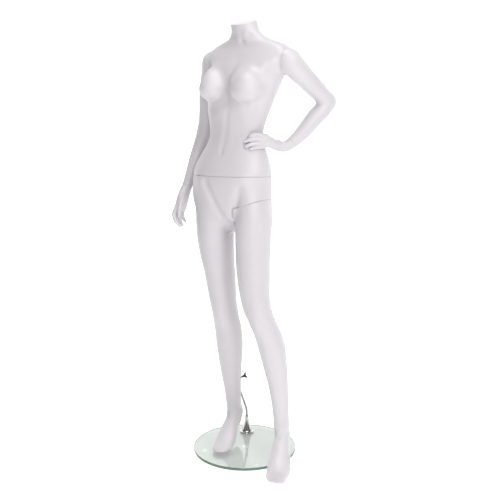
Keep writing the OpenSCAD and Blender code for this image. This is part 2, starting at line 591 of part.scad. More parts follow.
// ---- Bayonet fittings of the arms and of the left leg ----
// Plate on the trunk's side, with a round hole and a slot that lets the lock bar out
module lock_plate(at, dir, a, b, hub_d, slot_turn) {
  color(resin) on_plane(at - dir * (seam_gap / 2 + limb_plate_t), dir) difference() {
    linear_extrude(limb_plate_t) oval(a, b);
    translate([0, 0, -1]) cylinder(d = hub_d + 2 * run_gap, h = limb_plate_t + 2, $fn = round_steps);
    rotate([0, 0, slot_turn]) translate([-bar_len(hub_d) / 2 - 1, -bar_w(hub_d) / 2 - 0.5, -1])
      cube([bar_len(hub_d) + 2, bar_w(hub_d) + 1, limb_plate_t + 2]);
  }
}
// Plate on the limb's side
module limb_plate(at, dir, a, b, hub_d) {
  color(resin) on_plane(at + dir * seam_gap / 2, dir) difference() {
    linear_extrude(limb_plate_t) oval(a, b);
    translate([0, 0, -1]) cylinder(d = hub_d + 2 * run_gap, h = limb_plate_t + 2, $fn = round_steps);
  }
}
// Hub through both plates, with a foot inside the limb and a bar behind the trunk's plate
module lock_bar(at, dir, hub_d) {
  head_t = 4;
  color(steel) on_plane(at, dir) {
    translate([0, 0, seam_gap / 2 + limb_plate_t]) cylinder(d = hub_d + 10, h = 3, $fn = round_steps);
    translate([0, 0, -seam_gap / 2 - limb_plate_t - 0.4 - head_t])
      cylinder(d = hub_d, h = seam_gap + 2 * limb_plate_t + 0.4 + head_t + 1, $fn = round_steps);
    translate([-bar_len(hub_d) / 2, -bar_w(hub_d) / 2, -seam_gap / 2 - limb_plate_t - 0.4 - head_t])
      cube([bar_len(hub_d), bar_w(hub_d), head_t]);
  }
}
function bar_len(hub_d) = hub_d + 14;
function bar_w(hub_d) = hub_d / 2 - 1;

module hip_plate() {
  lock_plate(thigh_at, thigh_dir, 50, 66, leg_hub_d, -leg_unlock);
}
module thigh_plate() {
  limb_plate(thigh_at, thigh_dir, 50, 66, leg_hub_d);
}
module leg_lock_bar() {
  lock_bar(thigh_at, thigh_dir, leg_hub_d);
}
module left_shoulder_plate() {
  lock_plate(left_at, left_dir, 37, 34, arm_hub_d, -arm_unlock);
}
module right_shoulder_plate() {
  lock_plate(right_at, right_dir, 37, 34, arm_hub_d, arm_unlock);
}
module left_arm_plate() {
  limb_plate(left_at, left_dir, 37, 34, arm_hub_d);
}
module right_arm_plate() {
  limb_plate(right_at, right_dir, 37, 34, arm_hub_d);
}
module left_arm_lock_bar() {
  lock_bar(left_at, left_dir, arm_hub_d);
}
module right_arm_lock_bar() {
  lock_bar(right_at, right_dir, arm_hub_d);
}

// ---- Wrist fittings ----
module wrist_socket(at, dir) {
  cup_len = 24;
  color(steel) on_plane(at - dir * seam_gap / 2, -dir) difference() {
    union() {
      cylinder(d = 28, h = 3, $fn = round_steps);
      cylinder(d = wrist_peg_d + 2 * socket_wall, h = cup_len, $fn = fine_steps);
    }
    translate([0, 0, -1]) cylinder(d = wrist_peg_d + 2 * run_gap, h = cup_len - 2, $fn = fine_steps);
  }
}
module wrist_peg(at, dir) {
  color(steel) on_plane(at - dir * (seam_gap / 2 + 20), dir)
    cylinder(d = wrist_peg_d, h = 20 + seam_gap / 2 + wrist_peg_in, $fn = fine_steps);
}
module left_wrist_socket() {
  wrist_socket(left_wrist_at, left_wrist_dir);
}
module right_wrist_socket() {
  wrist_socket(right_wrist_at, right_wrist_dir);
}
module left_wrist_peg() {
  wrist_peg(left_wrist_at, left_wrist_dir);
}
module right_wrist_peg() {
  wrist_peg(right_wrist_at, right_wrist_dir);
}

base_pads();
glass_base();
glass_sleeve();
flange_washer();
flange_bolt();
flange_gasket();
base_flange();
flange_grub();
calf_rod();
lower_body();
calf_socket();
screw_boss();
waist_plate_lower();
waist_peg();
waist_pin();
lower_plate_screws();
hip_plate();
upper_body();
waist_plate_upper();
waist_socket();
upper_plate_screws();
neck_cap();
left_shoulder_plate();
right_shoulder_plate();
left_leg();
thigh_plate();
leg_lock_bar();
left_arm();
left_arm_plate();
left_arm_lock_bar();
left_wrist_socket();
left_wrist_peg();
left_hand();
right_arm();
right_arm_plate();
right_arm_lock_bar();
right_wrist_socket();
right_hand();
right_wrist_peg();
screw_shank();
screw_wing();
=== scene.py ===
"""Full body mannequin on a round glass base: visual pieces, materials, light and camera.

Sculpted skins are worked out as distance fields in millimetres, on the frame's own axes, then
meshed, hollowed and cut along the same seam planes as the solid model.
"""

import json
import math

import bmesh
import bpy
import numpy as np
import openvdb
from mathutils import Matrix, Vector


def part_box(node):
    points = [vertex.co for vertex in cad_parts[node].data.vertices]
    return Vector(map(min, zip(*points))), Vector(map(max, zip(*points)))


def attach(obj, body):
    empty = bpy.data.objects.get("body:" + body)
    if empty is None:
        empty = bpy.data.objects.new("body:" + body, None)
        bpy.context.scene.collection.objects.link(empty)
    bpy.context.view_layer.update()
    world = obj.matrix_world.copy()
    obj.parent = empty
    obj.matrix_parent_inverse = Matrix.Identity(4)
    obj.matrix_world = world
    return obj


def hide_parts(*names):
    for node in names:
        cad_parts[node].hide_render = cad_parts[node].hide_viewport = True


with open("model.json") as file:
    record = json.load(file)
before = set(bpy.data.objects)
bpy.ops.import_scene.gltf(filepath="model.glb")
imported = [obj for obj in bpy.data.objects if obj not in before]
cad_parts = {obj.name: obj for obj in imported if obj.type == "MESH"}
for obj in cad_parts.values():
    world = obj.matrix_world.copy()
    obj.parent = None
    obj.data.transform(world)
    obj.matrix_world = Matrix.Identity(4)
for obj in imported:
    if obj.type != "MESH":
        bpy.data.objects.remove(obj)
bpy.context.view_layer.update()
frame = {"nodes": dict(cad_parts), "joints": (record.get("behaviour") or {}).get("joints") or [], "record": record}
MM = 0.001
WALL = 4.0

# ---- Sections of the body: x, y, z, half width, front, back, squareness ----
TRUNK = [
    [-54, 8, 868, 20, 26, 34, 2], [-54, 6, 882, 50, 44, 60, 2], [-55, 5, 901, 90, 62, 82, 2.2],
    [-56, 4, 920, 128, 80, 98, 2.3], [-57, 3, 960, 150, 92, 108, 2.3],
    [-57, 2, 1000, 157, 98, 110, 2.3], [-56, 2, 1040, 157, 100, 106, 2.3],
    [-54, 2, 1074, 156, 98, 98, 2.3], [-52, 4, 1110, 150, 92, 86, 2.3],
    [-48, 8, 1150, 134, 84, 76, 2.2], [-44, 12, 1190, 113, 76, 70, 2.2],
    [-41, 15, 1225, 106, 74, 68, 2.15], [-39, 16, 1262, 110, 76, 70, 2.15],
    [-34, 17, 1305, 121, 82, 78, 2.2], [-24, 17, 1348, 129, 86, 88, 2.2],
    [-10, 17, 1391, 132, 84, 98, 2.3], [3, 17, 1430, 136, 84, 102, 2.4],
    [3, 19, 1465, 156, 78, 98, 2.6], [9, 21, 1490, 166, 68, 88, 2.6],
    [12, 22, 1515, 174, 58, 72, 2.3], [13, 20, 1534, 154, 50, 60, 2.1],
    [12, 14, 1550, 116, 46, 54, 2], [11, 8, 1566, 76, 45, 50, 2], [9, 0, 1585, 57, 45, 48, 2],
    [5, -5, 1605, 51, 45, 47, 2], [1, -12, 1645, 49, 44, 46, 2]]
RIGHT_LEG = [
    [-74, 44, 84, 20, 20, 20, 2.1], [-74, 45, 118, 26, 28, 32, 2.1], [-75, 40, 172, 29, 31, 32, 2.1],
    [-75, 33, 225, 33, 31, 34, 2.1], [-75, 24, 277, 38, 33, 42, 2.1],
    [-75, 16, 329, 43, 36, 50, 2.1], [-73, 9, 381, 48, 40, 57, 2.1],
    [-72, 2, 432, 51, 44, 60, 2.1], [-72, -4, 482, 51, 48, 56, 2.1],
    [-75, -12, 531, 49, 54, 49, 2.1], [-83, -15, 578, 49, 55, 52, 2.1],
    [-91, -14, 625, 51, 58, 58, 2.1], [-101, -13, 696, 54, 64, 66, 2.1],
    [-112, -14, 765, 60, 71, 73, 2.1], [-119, -14, 835, 66, 76, 80, 2.1],
    [-122, -10, 880, 68, 80, 86, 2.1], [-124, -4, 930, 67, 82, 100, 2.1],
    [-116, 0, 990, 54, 72, 88, 2.1], [-108, 0, 1050, 36, 52, 66, 2.1]]
LEFT_LEG = [
    [192, -48, 76, 19, 20, 20, 2.1], [190, -47, 112, 23, 26, 26, 2.1], [189, -50, 150, 28, 31, 29, 2.1],
    [187, -49, 182, 29, 29, 28, 2.1], [183, -49, 228, 31, 29, 30, 2.1],
    [178, -50, 275, 34, 31, 34, 2.1], [172, -51, 320, 38, 33, 41, 2.1],
    [164, -53, 366, 43, 36, 48, 2.1], [156, -55, 411, 47, 40, 55, 2.1],
    [147, -57, 456, 50, 44, 58, 2.1], [134, -60, 501, 51, 48, 55, 2.1],
    [116, -66, 545, 51, 53, 50, 2.1], [95, -66, 589, 52, 55, 53, 2.1],
    [79, -58, 635, 54, 58, 58, 2.1], [68, -48, 696, 59, 64, 65, 2.1],
    [58, -36, 765, 62, 70, 72, 2.1], [53, -26, 830, 64, 76, 77, 2.1],
    [51, -20, 880, 66, 80, 82, 2.1], [48, -12, 930, 66, 82, 100, 2.1],
    [44, -6, 990, 55, 76, 90, 2.1], [36, -4, 1050, 36, 54, 66, 2.1]]
# The left leg's sections are turned outward by LEG_TURN; its joint turns by LEG_TRAVEL
LEG_TURN = math.radians(12)
LEG_TRAVEL = math.radians(15)
# Limb paths: x, y, z, half width, above, below
RIGHT_FOOT = [
    [-81, 94, 116, 11, 10, 12], [-80, 84, 113, 19, 24, 30], [-77, 68, 116, 21, 28, 45],
    [-72, 42, 108, 22, 27, 37], [-67, 12, 88, 28, 30, 29], [-62, -22, 64, 36, 26, 24],
    [-56, -54, 42, 40, 20, 20], [-50, -82, 32, 39, 15, 14.5], [-44, -106, 28, 35, 12, 11],
    [-39, -124, 26, 20, 7, 8]]
LEFT_FOOT = [
    [168, 14, 102, 11, 10, 12], [173, 3, 97, 19, 23, 28], [180, -18, 102, 21, 27, 45],
    [190, -46, 94, 23, 27, 37], [201, -76, 76, 32, 31, 29], [213, -108, 50, 39, 26, 24],
    [224, -138, 29, 43, 20, 20], [232, -163, 19, 41, 15, 14.5], [239, -186, 15, 38, 12, 11],
    [243, -202, 13, 30, 8, 8]]
LEFT_SHOULDER = [
    [110, 26, 1493, 30, 34, 34], [140, 26, 1487.5, 38, 42, 42], [160, 26, 1484, 40, 43, 43],
    [174, 26, 1481.5, 37, 40, 40], [186, 26, 1479.4, 28, 31, 31], [194, 26, 1478, 12, 14, 14]]
RIGHT_SHOULDER = [
    [-87, 24, 1496.8, 30, 34, 34], [-117, 24, 1491.5, 38, 42, 42], [-137, 24, 1488, 40, 43, 43],
    [-151, 24, 1485.5, 37, 40, 40], [-163, 24, 1483.4, 28, 31, 31], [-171, 24, 1482, 12, 14, 14]]
LEFT_UPPER = [
    [158, 2, 1499, 20, 22, 22], [166, 20, 1486, 36, 38, 38], [176, 42, 1468, 40, 42, 42],
    [184, 62, 1452, 39, 41, 41], [194, 93, 1431, 37, 38, 38], [208, 139, 1400, 34, 36, 36],
    [224, 188, 1366, 31, 33, 33], [233, 212, 1348, 29, 31, 31], [238, 224, 1340, 20, 22, 22]]
LEFT_FORE = [
    [242, 226, 1350, 18, 20, 20], [236, 214, 1342, 29, 31, 31], [222, 194, 1314, 31, 33, 33],
    [204, 168, 1284, 31, 32, 32], [183, 140, 1246, 28, 29, 29], [163, 112, 1213, 23, 25, 25],
    [147, 91, 1193, 20, 22, 22], [138, 79, 1182, 20, 22, 22]]
LEFT_PALM = [
    [156, 106, 1202, 20, 21, 21], [147, 91, 1193, 20, 22, 22], [134, 76, 1182, 18, 20, 20],
    [120, 60, 1180, 16, 19, 19], [106, 42, 1187, 14, 18, 18], [94, 22, 1197, 13, 20, 19],
    [84, 5, 1204, 11, 23, 22], [78, -4, 1206, 6, 18, 17]]
LEFT_FINGERS = [
    [[88, 4, 1219, 8.5, 8.5, 8.5], [72, -20, 1224, 8, 8, 8], [58, -33, 1224, 7.5, 7.5, 7.5],
     [46, -41, 1219, 5.8, 5.8, 5.8]],
    [[86, 2, 1206, 8.5, 8.5, 8.5], [68, -26, 1210, 8.5, 8.5, 8.5], [50, -44, 1207, 8, 8, 8],
     [34, -53, 1200, 6, 6, 6]],
    [[84, 2, 1193, 8.5, 8.5, 8.5], [66, -27, 1194, 8.2, 8.2, 8.2], [50, -45, 1189, 7.6, 7.6, 7.6],
     [38, -54, 1181, 5.8, 5.8, 5.8]],
    [[84, 5, 1181, 7.5, 7.5, 7.5], [70, -20, 1180, 7.2, 7.2, 7.2], [60, -37, 1177, 6.6, 6.6, 6.6],
     [54, -46, 1173, 5.2, 5.2, 5.2]]]
LEFT_THUMB = [[120, 66, 1188, 9, 9, 9], [108, 80, 1194, 9, 9, 9], [92, 92, 1198, 8, 8, 8],
              [76, 98, 1197, 6, 6, 6]]
RIGHT_UPPER = [
    [-148, 28, 1504, 20, 22, 22], [-150, 28, 1490, 35, 38, 38], [-158, 32, 1458, 38, 41, 41],
    [-176, 44, 1420, 35, 40, 40], [-188, 52, 1386, 34, 39, 39], [-195, 59, 1350, 33, 37, 37],
    [-201, 61, 1290, 31, 34, 34], [-206, 57, 1240, 30, 33, 33], [-209, 52, 1216, 26, 28, 28]]
RIGHT_FORE = [
    [-202, 60, 1258, 24, 26, 26], [-206, 56, 1235, 30, 33, 33], [-216, 45, 1190, 30, 33, 33],
    [-230, 29, 1135, 27, 30, 30], [-241, 5, 1070, 22, 25, 25], [-247, -14, 1028, 19, 22, 22],
    [-250, -20, 1012, 19, 22, 22]]
RIGHT_PALM = [
    [-245, -9, 1042, 19, 22, 22], [-247, -14, 1028, 19, 22, 22], [-252, -22, 1006, 18, 28, 28],
    [-258, -30, 978, 17, 33, 33], [-262, -38, 950, 15, 34, 34], [-263, -42, 938, 8, 24, 24]]
RIGHT_FINGERS = [
    [[-264, -64, 946, 9, 9, 9], [-268, -74, 924, 9, 9, 9], [-261, -77, 900, 8, 8, 8],
     [-250, -75, 884, 6, 6, 6]],
    [[-265, -47, 946, 9, 9, 9], [-271, -56, 918, 9, 9, 9], [-264, -62, 892, 8, 8, 8],
     [-252, -61, 876, 6, 6, 6]],
    [[-264, -30, 946, 9, 9, 9], [-269, -38, 918, 9, 9, 9], [-263, -44, 893, 8, 8, 8],
     [-251, -44, 877, 6, 6, 6]],
    [[-262, -15, 948, 8, 8, 8], [-265, -22, 925, 8, 8, 8], [-259, -28, 904, 7, 7, 7],
     [-249, -29, 890, 5.2, 5.2, 5.2]]]
RIGHT_THUMB = [[-248, -46, 992, 10, 10, 10], [-245, -64, 964, 9, 9, 9],
               [-244, -74, 938, 8, 8, 8], [-243, -79, 918, 6, 6, 6]]


def unit(v):
    v = np.array(v, float)
    return v / np.linalg.norm(v)


# ---- Seam planes, from the joints of the record ----
JOINT = {j["name"]: j for j in frame["joints"]}


def joint_at(name):
    return np.array(JOINT[name]["pos_m"], float) / MM


WAIST_Z = 1074.0
SEAM = 0.6
TILT = math.radians(10)
LEFT_AT, LEFT_DIR = joint_at("left_arm_turn"), np.array([math.cos(TILT), 0, -math.sin(TILT)])
RIGHT_AT, RIGHT_DIR = joint_at("right_arm_turn"), np.array([-math.cos(TILT), 0, -math.sin(TILT)])
THIGH_AT, THIGH_DIR = joint_at("left_leg_turn"), -unit(JOINT["left_leg_turn"]["axis"])
RIGHT_WRIST_AT, RIGHT_WRIST_DIR = joint_at("right_hand_turn"), unit(JOINT["right_hand_turn"]["axis"])
LEFT_WRIST_AT, LEFT_WRIST_DIR = np.array([147.0, 91, 1193]), unit([-16, -21, -20])
NECK_AT, NECK_DIR = np.array([1.0, -8, 1619]), unit([-0.04, -0.30, 1])
ROD_DIR = unit(JOINT["body_lift"]["axis"])
UP = np.array([0.0, 0, 1])

# ---- The rod: its bend, and the heights where the calf takes it and the thumb screw meets it ----
ROD_R, BOLT_R = 5.0, 3.1
BEND = np.array([-56.0, 113, 112])
ENTRY_Z, SCREW_Z = 216, 256
SOCKET_R, BOSS_R = 7.5, 7.0
ROD_DEPTH = 130
# Below the thigh seam the hollow stops two walls short of x = -CROTCH_X, so the crotch is closed;
# its skin ends at x = -CROTCH_EDGE and stands CROTCH_ROOM clear of the left leg's column, or
# CROTCH_FRONT less than that in front
CROTCH_X, CROTCH_EDGE, CROTCH_ROOM, CROTCH_FRONT = 30, 7, 9.0, 4
# Under a shoulder seam the cut turns inward this far below the joint, at this slope
ARMPIT_DROP, ARMPIT_SLOPE = 46, math.radians(50)
# The hand's hole for its wrist peg
PEG_HOLE_R, PEG_HOLE_DEPTH = 4.1, 15.2


def on_rod(z):
    return BEND + ROD_DIR * (z - BEND[2]) / ROD_DIR[2]


# ---- Fields ----
FAR = 60.0


class Field:
    """A block of distances on a regular grid; every operation keeps the smaller distances."""

    def __init__(self, lo, hi, h):
        self.lo, self.h = np.array(lo, float), float(h)
        n = np.ceil((np.array(hi, float) - self.lo) / h).astype(int) + 1
        self.ax = [(self.lo[k] + h * np.arange(n[k])).astype(np.float32) for k in range(3)]
        self.F = np.full(tuple(n), FAR, np.float32)

    def part(self, lo, hi):
        """Slices of the grid inside a box, and its sparse coordinates."""
        s = []
        for k in range(3):
            a = int(max(0, math.floor((lo[k] - self.lo[k]) / self.h)))
            b = int(min(len(self.ax[k]), math.ceil((hi[k] - self.lo[k]) / self.h) + 1))
            if b <= a:
                return None, None
            s.append(slice(a, b))
        X = self.ax[0][s[0]][:, None, None]
        Y = self.ax[1][s[1]][None, :, None]
        Z = self.ax[2][s[2]][None, None, :]
        return tuple(s), (X, Y, Z)

    def all(self):
        return self.part(self.lo - 1, [a[-1] + 1 for a in self.ax])[1]

    def empty(self):
        f = Field.__new__(Field)
        f.lo, f.h, f.ax = self.lo, self.h, self.ax
        f.F = np.full(self.F.shape, FAR, np.float32)
        return f

    def join(self, other, k=0.0):
        a, b = self.F, other.F
        if k <= 0:
            self.F = np.minimum(a, b)
            return self
        t = np.clip(0.5 + 0.5 * (b - a) / k, 0, 1)
        self.F = (b + (a - b) * t - k * t * (1 - t)).astype(np.float32)
        return self

    def keep(self, other, k=0.0):
        a, b = self.F, other
        if k <= 0:
            self.F = np.maximum(a, b)
            return self
        t = np.clip(0.5 - 0.5 * (b - a) / k, 0, 1)
        self.F = (b + (a - b) * t + k * t * (1 - t)).astype(np.float32)
        return self

    def side(self, at, d):
        """Signed distance from a plane, positive on the side its direction points to."""
        X, Y, Z = self.all()
        return ((X - at[0]) * d[0] + (Y - at[1]) * d[1] + (Z - at[2]) * d[2]).astype(np.float32)

    def press(self, pts, depth, width):
        """A soft groove (or a ridge, when depth is negative) along a line of points."""
        pts = np.array(pts, float)
        m = 2.6 * width
        s, xyz = self.part(pts.min(0) - m, pts.max(0) + m)
        if s is None:
            return self
        d2 = None
        for p, q in zip(pts[:-1], pts[1:]):
            e = q - p
            r = [xyz[k] - p[k] for k in range(3)]
            t = np.clip((r[0] * e[0] + r[1] * e[1] + r[2] * e[2]) / max(float(e @ e), 1e-6), 0, 1)
            w = sum((r[k] - t * e[k]) ** 2 for k in range(3))
            d2 = w if d2 is None else np.minimum(d2, w)
        self.F[s] += (depth * np.exp(-d2 / width**2)).astype(np.float32)
        return self

    def dimple(self, at, size, depth):
        at, size = np.array(at, float), np.array(size, float)
        s, (X, Y, Z) = self.part(at - 2.6 * size, at + 2.6 * size)
        if s is None:
            return self
        e = ((X - at[0]) / size[0]) ** 2 + ((Y - at[1]) / size[1]) ** 2 + ((Z - at[2]) / size[2]) ** 2
        self.F[s] += (depth * np.exp(-e)).astype(np.float32)
        return self


def smooth(T, n):
    """Points of a Catmull-Rom curve through the rows of a table."""
    T = np.array(T, float)
    P = np.vstack([2 * T[0] - T[1], T, 2 * T[-1] - T[-2]])
    out = []
    for i in range(len(T) - 1):
        a, b, c, d = P[i : i + 4]
        for k in range(n):
            t = k / n
            out.append((2 * b + (c - a) * t + (2 * a - 5 * b + 4 * c - d) * t * t
                        + (3 * b - a - 3 * c + d) * t**3) / 2)
    out.append(T[-1])
    return np.array(out)


def level(f, T, turn=0.0, low=None):
    """Distance to a column whose level sections follow a table."""
    S = smooth(T, 10)
    z0 = S[0, 2] if low is None else low
    z1 = S[-1, 2]
    g = f.empty()
    s, (X, Y, Z) = g.part([-999, -999, z0 - 20], [999, 999, z1 + 20])
    z = Z[0, 0]
    x0, y0, a, fr, ba, n = [np.interp(z, S[:, 2], S[:, k]).astype(np.float32) for k in (0, 1, 3, 4, 5, 6)]
    dx, dy = X - x0, Y - y0
    c, q = math.cos(turn), math.sin(turn)
    u, v = dx * c + dy * q, -dx * q + dy * c
    d = np.where(v < 0, fr, ba)
    w = (np.abs(u / a) ** n + np.abs(v / d) ** n) ** (1 / n)
    r = np.sqrt(u * u + v * v)
    F = r * (1 - 1 / np.maximum(w, 1e-3))
    F = np.where(r < 0.01, -np.minimum(a, fr), F)
    g.F[s] = np.maximum(F, np.maximum(z0 - Z, Z - z1))
    return g


def along(f, T, up=UP, sub=5):
    """Distance to a limb whose oval sections stand square to a path; its ends are rounded."""
    S = smooth(T, sub)
    P = S[:, :3]
    H = np.array([unit(P[min(i + 1, len(P) - 1)] - P[max(i - 1, 0)]) for i in range(len(P))])
    U = [unit(np.array(up) - H[0] * (np.array(up) @ H[0]))]
    for h in H[1:]:
        U.append(unit(U[-1] - h * (U[-1] @ h)))
    g = f.empty()
    for i in range(len(P) - 1):
        p, e = P[i], P[i + 1] - P[i]
        m = max(S[i, 3:].max(), S[i + 1, 3:].max()) + 16
        s, xyz = g.part(np.minimum(P[i], P[i + 1]) - m, np.maximum(P[i], P[i + 1]) + m)
        if s is None:
            continue
        r = [xyz[k] - p[k] for k in range(3)]
        t = np.clip((r[0] * e[0] + r[1] * e[1] + r[2] * e[2]) / float(e @ e), 0, 1)
        o = [r[k] - t * e[k] for k in range(3)]
        d = unit(e)
        um = unit((U[i] + U[i + 1]) / 2 - d * (((U[i] + U[i + 1]) / 2) @ d))
        sm = np.cross(um, d)
        x = o[0] * sm[0] + o[1] * sm[1] + o[2] * sm[2]
        y = o[0] * um[0] + o[1] * um[1] + o[2] * um[2]
        w = o[0] * d[0] + o[1] * d[1] + o[2] * d[2]
        a, b1, b2 = [S[i, k] + (S[i + 1, k] - S[i, k]) * t for k in (3, 4, 5)]
        b = np.where(y > 0, b1, b2)
        c = np.minimum(a, b)
        q = np.sqrt((x / a) ** 2 + (y / b) ** 2 + (w / c) ** 2)
        n = np.sqrt(x * x + y * y + w * w)
        F = np.where(n < 0.01, -c, n * (1 - 1 / np.maximum(q, 1e-3)))
        g.F[s] = np.minimum(g.F[s], F)
    return g


def ball(f, at, size, above=None):
    """An ellipsoid whose upper half may be longer than its lower half."""
    g = f.empty()
    at, size = np.array(at, float), np.array(size, float)
    top = size[2] if above is None else above
    m = np.array([size[0], size[1], max(size[2], top)]) + 40
    s, xyz = g.part(at - m, at + m)
    if s is None:
        return g
    x, y, z = [xyz[k] - at[k] for k in range(3)]
    c = np.where(z > 0, top, size[2])
    q = np.sqrt((x / size[0]) ** 2 + (y / size[1]) ** 2 + (z / c) ** 2)
    n = np.sqrt(x * x + y * y + z * z)
    g.F[s] = np.where(n < 0.01, -min(size), n * (1 - 1 / np.maximum(q, 1e-3)))
    return g


# ---- Meshes ----
def to_mesh(name, pts, faces):
    me = bpy.data.meshes.new(name)
    me.vertices.add(len(pts))
    me.vertices.foreach_set("co", np.asarray(pts, np.float32).ravel())
    k = faces.shape[1]
    me.loops.add(len(faces) * k)
    me.loops.foreach_set("vertex_index", faces.astype(np.int32).ravel())
    me.polygons.add(len(faces))
    me.polygons.foreach_set("loop_start", np.arange(0, len(faces) * k, k, dtype=np.int32))
    me.update(calc_edges=True)
    me.validate()
    return me


def show(name, me):
    o = bpy.data.objects.new(name, me)
    bpy.context.scene.collection.objects.link(o)
    return o


def surface(name, f, inset=0.0):
    F = np.pad(np.clip(f.F + inset, -12, 12), 1, constant_values=12.0)
    g = openvdb.FloatGrid(12.0)
    g.copyFromArray(np.ascontiguousarray(F))
    pts, quads = g.convertToQuads(0.0)
    pts = (pts - 1) * f.h + f.lo
    me = to_mesh(name, pts * MM, quads)
    # relax the grid's faint steps, then keep only the largest closed piece
    bm = bmesh.new()
    bm.from_mesh(me)
    seen, best = set(), []
    for v in bm.verts:
        if v.index in seen:
            continue
        todo, piece = [v], []
        seen.add(v.index)
        while todo:
            w = todo.pop()
            piece.append(w)
            for e in w.link_edges:
                o = e.other_vert(w)
                if o.index not in seen:
                    seen.add(o.index)
                    todo.append(o)
        if len(piece) > len(best):
            best = piece
    if len(best) < len(bm.verts):
        keep = set(v.index for v in best)
        bmesh.ops.delete(bm, geom=[v for v in bm.verts if v.index not in keep], context="VERTS")
    bmesh.ops.smooth_vert(bm, verts=bm.verts, factor=0.5, use_axis_x=True, use_axis_y=True, use_axis_z=True)
    bm.to_mesh(me)
    bm.free()
    return show(name, me)


def turned(at, d):
    """Matrix that takes +Z to a direction and the origin to a point."""
    z = Vector(unit(d))
    return Matrix.Translation(Vector(np.array(at) * MM)) @ z.to_track_quat("Z", "Y").to_matrix().to_4x4()


def block(at, d, start=0.0, size=700.0, depth=700.0):
    """A large box beyond a plane."""
    h = size / 2 * MM
    p = np.array([[x, y, z] for z in (0, depth * MM) for x, y in ((-h, -h), (h, -h), (h, h), (-h, h))])
    q = np.array([[0, 3, 2, 1], [4, 5, 6, 7], [0, 1, 5, 4], [1, 2, 6, 5], [2, 3, 7, 6], [3, 0, 4, 7]])
    me = to_mesh("block", p, q)
    me.transform(turned(np.array(at) + np.array(d) * start, d))
    return show("block", me)


def lathe(name, profile, at, d, n=64):
    """A closed solid of revolution; profile is a list of (radius, height) from one axis end to the other."""
    bm = bmesh.new()
    rings = []
    for r, z in profile:
        if rings and (r, z) == tuple(profile[0]):
            rings.append(rings[0])
        elif r <= 1e-6:
            rings.append([bm.verts.new((0, 0, z * MM))])
        else:
            rings.append([bm.verts.new((r * MM * math.cos(2 * math.pi * j / n),
                                        r * MM * math.sin(2 * math.pi * j / n), z * MM)) for j in range(n)])
    for A, B in zip(rings[:-1], rings[1:]):
        for j in range(n):
            k = (j + 1) % n
            if len(A) == 1 and len(B) == 1:
                continue
            if len(A) == 1:
                bm.faces.new((A[0], B[j], B[k]))
            elif len(B) == 1:
                bm.faces.new((A[j], B[0], A[k]))
            else:
                bm.faces.new((A[j], B[j], B[k], A[k]))
    me = bpy.data.meshes.new(name)
    bmesh.ops.recalc_face_normals(bm, faces=bm.faces)
    bm.to_mesh(me)
    bm.free()
    me.transform(turned(at, d))
    return show(name, me)


def rod_cutter(at, d, r, start, end, n=48):
    return lathe("bore", [(0, start), (r, start), (r, end), (0, end)], at, d, n)


def cut(obj, tools):
    """Take the tools away from an object; they are used up."""
    for t in tools:
        m = obj.modifiers.new("cut", "BOOLEAN")
        m.operation, m.solver, m.object = "DIFFERENCE", "MANIFOLD", t
    dg = bpy.context.evaluated_depsgraph_get()
    me = bpy.data.meshes.new_from_object(obj.evaluated_get(dg))
    obj.modifiers.clear()
    old = obj.data
    obj.data = me
    bpy.data.meshes.remove(old)
    for t in tools:
        m = t.data
        bpy.data.objects.remove(t)
        bpy.data.meshes.remove(m)
    return obj


def shade(obj, planes):
    """Smooth skin, flat seam faces."""
    me = obj.data
    n = len(me.polygons)
    smooth_ = np.ones(n, bool)
    c = np.zeros(n * 3, np.float32)
    nr = np.zeros(n * 3, np.float32)
    me.polygons.foreach_get("center", c)
    me.polygons.foreach_get("normal", nr)
    c, nr = c.reshape(-1, 3) / MM, nr.reshape(-1, 3)
    for at, d in planes:
        on = (np.abs((c - np.array(at)) @ np.array(d)) < 0.8) & (np.abs(nr @ np.array(d)) > 0.999)
        smooth_[on] = False
    me.polygons.foreach_set("use_smooth", smooth_)
    me.update()
    return obj


# ---- Modelling helpers on the skin ----
def skin_y(f, x, z, front=True):
    """Where the skin is met along Y at a place seen from the front or from behind."""
    i = int(np.clip(round((x - f.lo[0]) / f.h), 0, len(f.ax[0]) - 1))
    k = int(np.clip(round((z - f.lo[2]) / f.h), 0, len(f.ax[2]) - 1))
    col = f.F[i, :, k]
    inside = np.nonzero(col < 0)[0]
    if len(inside) == 0:
        return 0.0
    return float(f.ax[1][inside[0] if front else inside[-1]])


def line_on(f, pts, depth, width, front=True, step=8.0):
    """A groove or ridge that follows the skin through points given as (x, z)."""
    pts = [np.array(p, float) for p in pts]
    out = []
    for a, b in zip(pts[:-1], pts[1:]):
        n = max(1, int(np.linalg.norm(b - a) / step))
        out += [a + (b - a) * i / n for i in range(n)]
    out.append(pts[-1])
    f.press([(p[0], skin_y(f, p[0], p[1], front), p[1]) for p in out], depth, width)


def spot_on(f, x, z, size, depth, front=True):
    f.dimple((x, skin_y(f, x, z, front), z), size, depth)


def armpit(at, d):
    """Point and direction of the sloping face under a shoulder seam."""
    down = unit(np.cross(np.cross(d, [0, 0, -1]), d))
    slope = down * math.cos(ARMPIT_SLOPE) - np.array(d) * math.sin(ARMPIT_SLOPE)
    return np.array(at) + down * ARMPIT_DROP, slope


def wedge_value(f, at, d, inward):
    """Positive in the space that a shoulder cut takes away: beyond the seam and above the armpit."""
    edge, n = armpit(at, d)
    back = np.array(d) * inward
    return np.minimum(f.side(at - back, d), -f.side(edge - back, n))


def wedge(at, d):
    return cut(block(at, d, -SEAM / 2), [block(*armpit(at, d))])


# ---- The skins ----
# Centre, half sizes and height above the centre
BREASTS = [((42, -57, 1388), (62, 60, 54), 68), ((-106, -49, 1394), (50, 55, 49), 68)]


